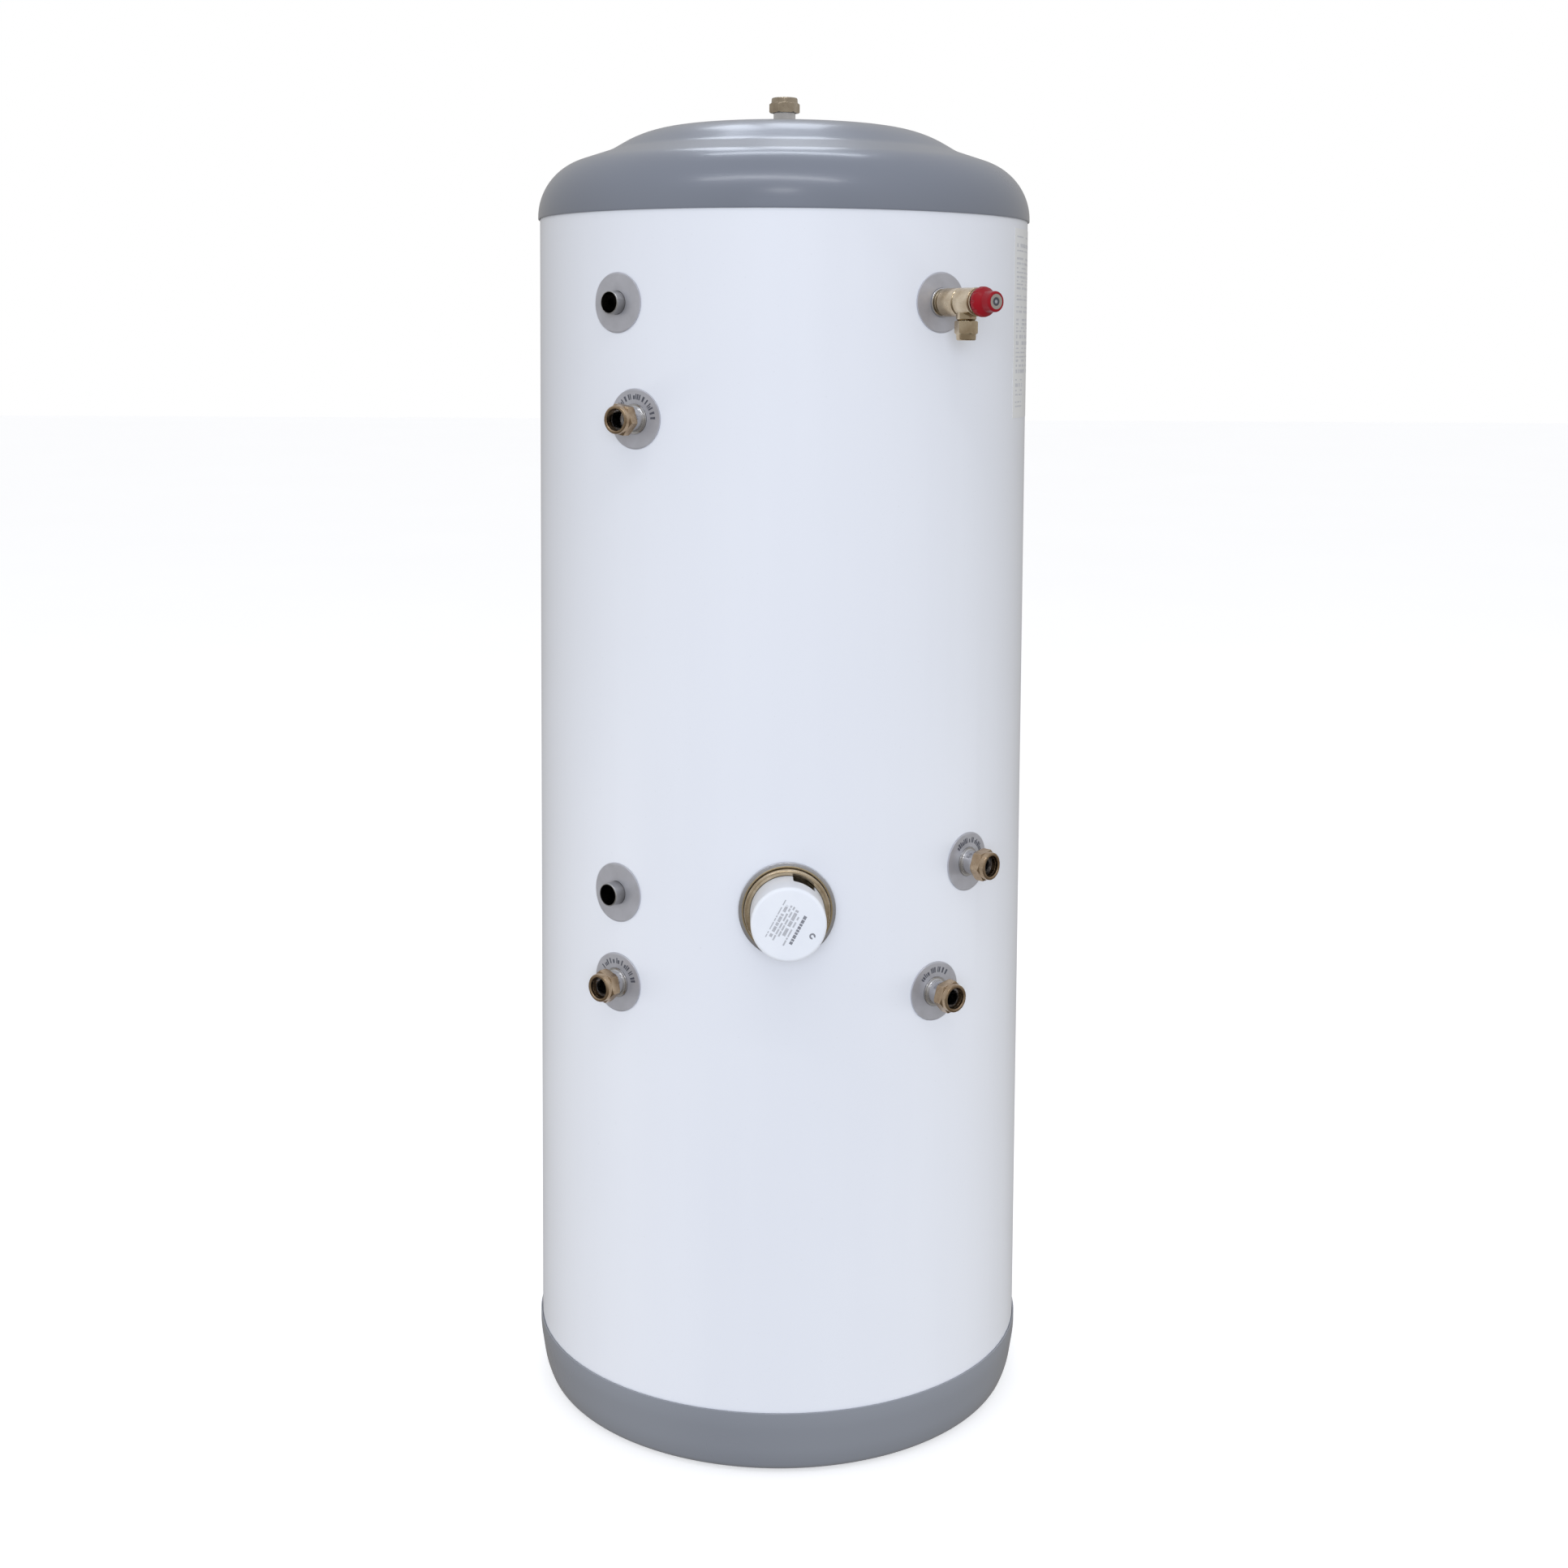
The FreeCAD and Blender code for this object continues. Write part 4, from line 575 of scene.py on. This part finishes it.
lid_shell("top_lid_shell", "top_lid", (
    (LID_HOLE, LID_SEAM + 0.110), (0.055, LID_SEAM + 0.110, 1.150),
    (0.1579, LID_SEAM + 0.1007, 0.130), (0.1978, LID_SEAM + 0.0768, 0.060),
    (LID_RADIUS, LID_SEAM + 0.0501, 0.066), (LID_RADIUS, LID_SEAM + LID_WALL / 2),
), 1, lid_grey)
lid_shell("base_lid_shell", "base_lid", (
    (0.001, 0.0), (0.263, 0.0, 0.016), (0.2715, 0.020, 0.080), (LID_RADIUS, 0.056, 0.080),
    (LID_RADIUS, BASE_SEAM - LID_WALL / 2),
), -1, lightened_lid_grey)

ESCUTCHEON_FACE = 0.2767
MARK_RADII = (0.0205, 0.0262)
MARK_RISE = 0.0002


def disc_marks(connection, azimuth, height, start, end, seed):
    """Raised ticks round part of a cover disc, where a real one carries its name."""
    pick = random.Random(seed)
    builder = bmesh.new()

    def on_disc(clock, radius, rise):
        angle = math.radians(clock)
        aside = math.degrees(math.asin(math.sin(angle) * radius / ESCUTCHEON_FACE))
        rim = outward(azimuth + aside) * (ESCUTCHEON_FACE + rise)
        return rim + Vector((0, 0, height + math.cos(angle) * radius))

    clock = start
    while clock < end:
        width = pick.choice((2.6, 3.6, 5.2))
        inner, outer = MARK_RADII
        if pick.random() < 0.35:
            outer -= 0.0018
        add_block(builder, on_disc, (clock, clock + width), (inner, outer), -0.0001, MARK_RISE, 3)
        clock += width + pick.choice((2.4, 2.4, 2.4, 7.5))
    return finish_piece(
        f"{connection}_marks", builder, mark_ink, "cylinder"
    )


mark_ink = print_ink("mark_ink", (0.075, 0.078, 0.095), 0.12)
grey_ink = print_ink("grey_ink", (0.56, 0.565, 0.58), 0.40)
pale_ink = print_ink("pale_ink", (0.46, 0.465, 0.49), 0.30)
dark_ink = print_ink("dark_ink", (0.22, 0.225, 0.25), 0.25)

disc_marks("secondary_return", -35.3, 1.113, -72, 88, 3)
disc_marks("primary_flow", 45.2, 0.640, -48, 78, 5)
disc_marks("primary_return", -40.3, 0.514, -55, 76, 8)
disc_marks("cold_inlet", 35.2, 0.508, -52, 36, 13)


PRINT_START = 65.4
PRINT_END = 102.5
PRINT_NOTES_END = 72.0
PRINT_MARGIN = 0.008
PRINT_FOOT = 0.012
PRINT_NOTES_HEIGHT = 0.05


def label_print():
    """Rows of plain bars on the data label, in blocks like a table and its notes."""
    pick = random.Random(21)
    label_low, label_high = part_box("data_label")
    builder = bmesh.new()

    def on_casing(azimuth, height, rise):
        return outward(azimuth) * (LABEL_FACE + rise) + Vector((0, 0, height))

    height = label_high[2] - PRINT_MARGIN
    while height > label_low[2] + PRINT_FOOT:
        tall = pick.choice((0.0016, 0.0016, 0.0024, 0.0040))
        azimuth = PRINT_START
        last = PRINT_END if height > label_low[2] + PRINT_NOTES_HEIGHT else PRINT_NOTES_END
        while azimuth < last:
            width = pick.choice((1.2, 2.2, 3.4, 6.0))
            end = min(azimuth + width, last)
            add_block(
                builder, on_casing, (azimuth, end), (height - tall, height), -0.00002, 0.00006,
                max(1, round(end - azimuth)),
            )
            azimuth = end + pick.choice((0.6, 0.6, 1.6, 3.0))
        height -= tall + pick.choice((0.0022, 0.0030, 0.0030, 0.0065))
    return finish_piece("data_label_print", builder, grey_ink, "cylinder")


label_print()


PRINT_TURN = 61.8
RING_ACROSS = 0.0012
RING_ALONG = 0.0264


def cover_print():
    """Rows of plain bars and one heavy bar across the heater cover, turned as the cover is."""
    turn = math.radians(PRINT_TURN)
    reading = Vector((math.cos(turn), 0.0, math.sin(turn)))
    downward = Vector((math.sin(turn), 0.0, -math.cos(turn)))
    centre = Vector((0.0, -COVER_FACE, COVER_CENTRE))

    def on_face(across, along, rise):
        return centre + reading * across + downward * along + Vector((0, -rise, 0))

    pick = random.Random(4)
    pale = bmesh.new()
    rows = (
        (-0.0156, 0.0012, -0.0215, 0.0215),
        (-0.0124, 0.0030, -0.0190, 0.0170),
        (-0.0078, 0.0018, -0.0210, 0.0190),
        (-0.0046, 0.0018, -0.0150, 0.0200),
        (-0.0012, 0.0034, -0.0120, 0.0175),
        (0.0040, 0.0017, -0.0210, 0.0120),
    )
    for along, tall, start, end in rows:
        across = start
        while across < end:
            width = pick.choice((0.0022, 0.0035, 0.0060, 0.0085))
            stop = min(across + width, end)
            add_block(pale, on_face, (across, stop), (along, along + tall), -0.00005, 0.00003)
            across = stop + pick.choice((0.0009, 0.0009, 0.0024))
    finish_piece("cover_print_rows", pale, pale_ink, "heater_cover")

    dark = bmesh.new()
    across = -0.0165
    while across < 0.0165:
        stop = across + pick.choice((0.0024, 0.0030, 0.0038))
        add_block(dark, on_face, (across, stop), (0.0090, 0.0123), -0.00005, 0.00003)
        across = stop + 0.0007

    def on_ring(clock, radius, rise):
        angle = math.radians(clock)
        return on_face(
            RING_ACROSS + math.sin(angle) * radius, RING_ALONG + math.cos(angle) * radius, rise
        )

    add_block(dark, on_ring, (0.0, 300.0), (0.0014, 0.0032), -0.00005, 0.00003, 20)
    finish_piece("cover_print_bar", dark, dark_ink, "heater_cover")


cover_print()


DIAL_CENTRE = Vector((-0.006, -0.3080, 0.6255))
DIAL_TICKS = 10
DIAL_FIRST = -135.0
DIAL_STEP = 30.0
TICK_HALF_WIDTH = 2.5
TICK_RADII = (0.0088, 0.0104)
TICK_RISE = 0.00025


def dial_scale():
    """Ticks moulded round the thermostat's dial."""
    builder = bmesh.new()

    def on_block(clock, radius, rise):
        angle = math.radians(clock)
        return DIAL_CENTRE + Vector((
            math.sin(angle) * radius, -rise, math.cos(angle) * radius
        ))

    for k in range(DIAL_TICKS):
        clock = DIAL_FIRST + DIAL_STEP * k
        span = (clock - TICK_HALF_WIDTH, clock + TICK_HALF_WIDTH)
        add_block(builder, on_block, span, TICK_RADII, -0.0001, TICK_RISE, 2)
    return finish_piece("dial_scale", builder, pale_ink, "cylinder")


dial_scale()


# ---------------------------------------------------------------- stage and light

FLOOR_SIZE = 60.0


def make_floor():
    """A plain pale floor."""
    builder = bmesh.new()
    bmesh.ops.create_grid(builder, x_segments=1, y_segments=1, size=FLOOR_SIZE / 2)
    mesh = bpy.data.meshes.new("floor")
    builder.to_mesh(mesh)
    builder.free()
    look = Look("floor_paint", (0.86, 0.86, 0.86), 0.7)
    look.shader.inputs["Emission Color"].default_value = (1.0, 1.0, 1.0, 1.0)
    look.shader.inputs["Emission Strength"].default_value = 0.45
    look.shader.inputs["Specular IOR Level"].default_value = 0.1
    look.set("Base Color", look.mix(look.noise(0.8, 3.0), (0.84, 0.84, 0.84), (0.88, 0.88, 0.88)))
    mesh.materials.append(look.material)
    floor = bpy.data.objects.new("floor", mesh)
    floor.location.z = -0.0005
    floor.visible_glossy = False
    floor.visible_diffuse = False
    scene.collection.objects.link(floor)


def area_light(name, spot, target, width, height, power, color=(1.0, 1.0, 1.0), glossy=True):
    """A soft rectangular lamp that the camera doesn't see."""
    lamp = bpy.data.lights.new(name, "AREA")
    lamp.shape = "RECTANGLE"
    lamp.size = width
    lamp.size_y = height
    lamp.energy = power
    lamp.color = color
    holder = bpy.data.objects.new(name, lamp)
    holder.location = spot
    aim = Vector(target) - Vector(spot)
    holder.rotation_euler = aim.to_track_quat("-Z", "Y").to_euler()
    holder.visible_camera = False
    holder.visible_glossy = glossy
    scene.collection.objects.link(holder)


def sky(tree, stops):
    """A background whose colour runs from straight down (0) to straight up (1)."""
    place = tree.nodes.new("ShaderNodeTexCoord")
    split = tree.nodes.new("ShaderNodeSeparateXYZ")
    shift = tree.nodes.new("ShaderNodeMapRange")
    ramp = tree.nodes.new("ShaderNodeValToRGB")
    background = tree.nodes.new("ShaderNodeBackground")
    shift.inputs["From Min"].default_value = -1.0
    shift.inputs["From Max"].default_value = 1.0
    ramp.color_ramp.elements.remove(ramp.color_ramp.elements[1])
    ramp.color_ramp.elements[0].position = stops[0][0]
    ramp.color_ramp.elements[0].color = (*stops[0][1], 1.0)
    for position, color in stops[1:]:
        ramp.color_ramp.elements.new(position).color = (*color, 1.0)
    tree.links.new(place.outputs["Generated"], split.inputs["Vector"])
    tree.links.new(split.outputs["Z"], shift.inputs["Value"])
    tree.links.new(shift.outputs["Result"], ramp.inputs["Fac"])
    tree.links.new(ramp.outputs["Color"], background.inputs["Color"])
    return background.outputs["Background"]


def make_world():
    """White for the camera, an even fill for matt surfaces, and a dimmer room for reflections."""
    world = bpy.data.worlds.new("room")
    world.use_nodes = True
    tree = world.node_tree
    tree.nodes.clear()
    output = tree.nodes.new("ShaderNodeOutputWorld")
    path = tree.nodes.new("ShaderNodeLightPath")
    seen = tree.nodes.new("ShaderNodeBackground")
    seen.inputs["Color"].default_value = (1.0, 1.0, 1.0, 1.0)
    fill = sky(tree, (
        (0.0, (0.46, 0.46, 0.46)), (0.46, (0.50, 0.50, 0.50)), (0.56, (0.56, 0.56, 0.555)),
        (0.80, (0.58, 0.585, 0.60)), (1.0, (0.67, 0.68, 0.71)),
    ))
    mirrored = sky(tree, (
        (0.0, (0.16, 0.15, 0.14)), (0.44, (0.30, 0.29, 0.28)), (0.53, (0.42, 0.41, 0.40)),
        (0.70, (0.46, 0.46, 0.47)), (1.0, (0.62, 0.64, 0.70)),
    ))
    by_gloss = tree.nodes.new("ShaderNodeMixShader")
    by_camera = tree.nodes.new("ShaderNodeMixShader")
    link = tree.links.new
    link(path.outputs["Is Glossy Ray"], by_gloss.inputs["Fac"])
    link(fill, by_gloss.inputs[1])
    link(mirrored, by_gloss.inputs[2])
    link(path.outputs["Is Camera Ray"], by_camera.inputs["Fac"])
    link(by_gloss.outputs["Shader"], by_camera.inputs[1])
    link(seen.outputs["Background"], by_camera.inputs[2])
    link(by_camera.outputs["Shader"], output.inputs["Surface"])
    scene.world = world


make_floor()
make_world()
area_light(
    "front_softbox", (-0.4, -9.6, 2.4), (0.0, 0.0, 0.7), 5.0, 4.0, 432.0, (0.775, 0.845, 1.0),
    glossy=False,
)
area_light("front_glow", (-0.2, -6.0, 4.6), (0.0, 0.0, 1.3), 1.3, 0.8, 9.0)
area_light("ceiling_tube", (-0.3, -1.84, 3.6), (-0.05, -0.2, 1.2), 2.9, 0.20, 10.0)
area_light("overhead_strip", (0.03, 0.80, 3.5), (0.0, -0.2, 1.38), 1.25, 0.22, 5.0, (0.86, 0.92, 1.0))
for name, spot, width in (
    ("window_left", (-0.51, 3.45, 5.0), 0.56), ("window_right", (0.24, 3.45, 4.9), 0.70),
):
    area_light(name, spot, (0.0, -0.15, 1.42), width, 1.3, 7.0, (0.84, 0.90, 1.0))
for side in (-1, 1):
    area_light(
        "floor_glow", (side * 1.5, -0.25, 0.36), (side * 0.25, -0.1, -0.6), 1.0, 0.5, 4.5, glossy=False
    )

scene.view_settings.view_transform = "Standard"
scene.view_settings.look = "None"
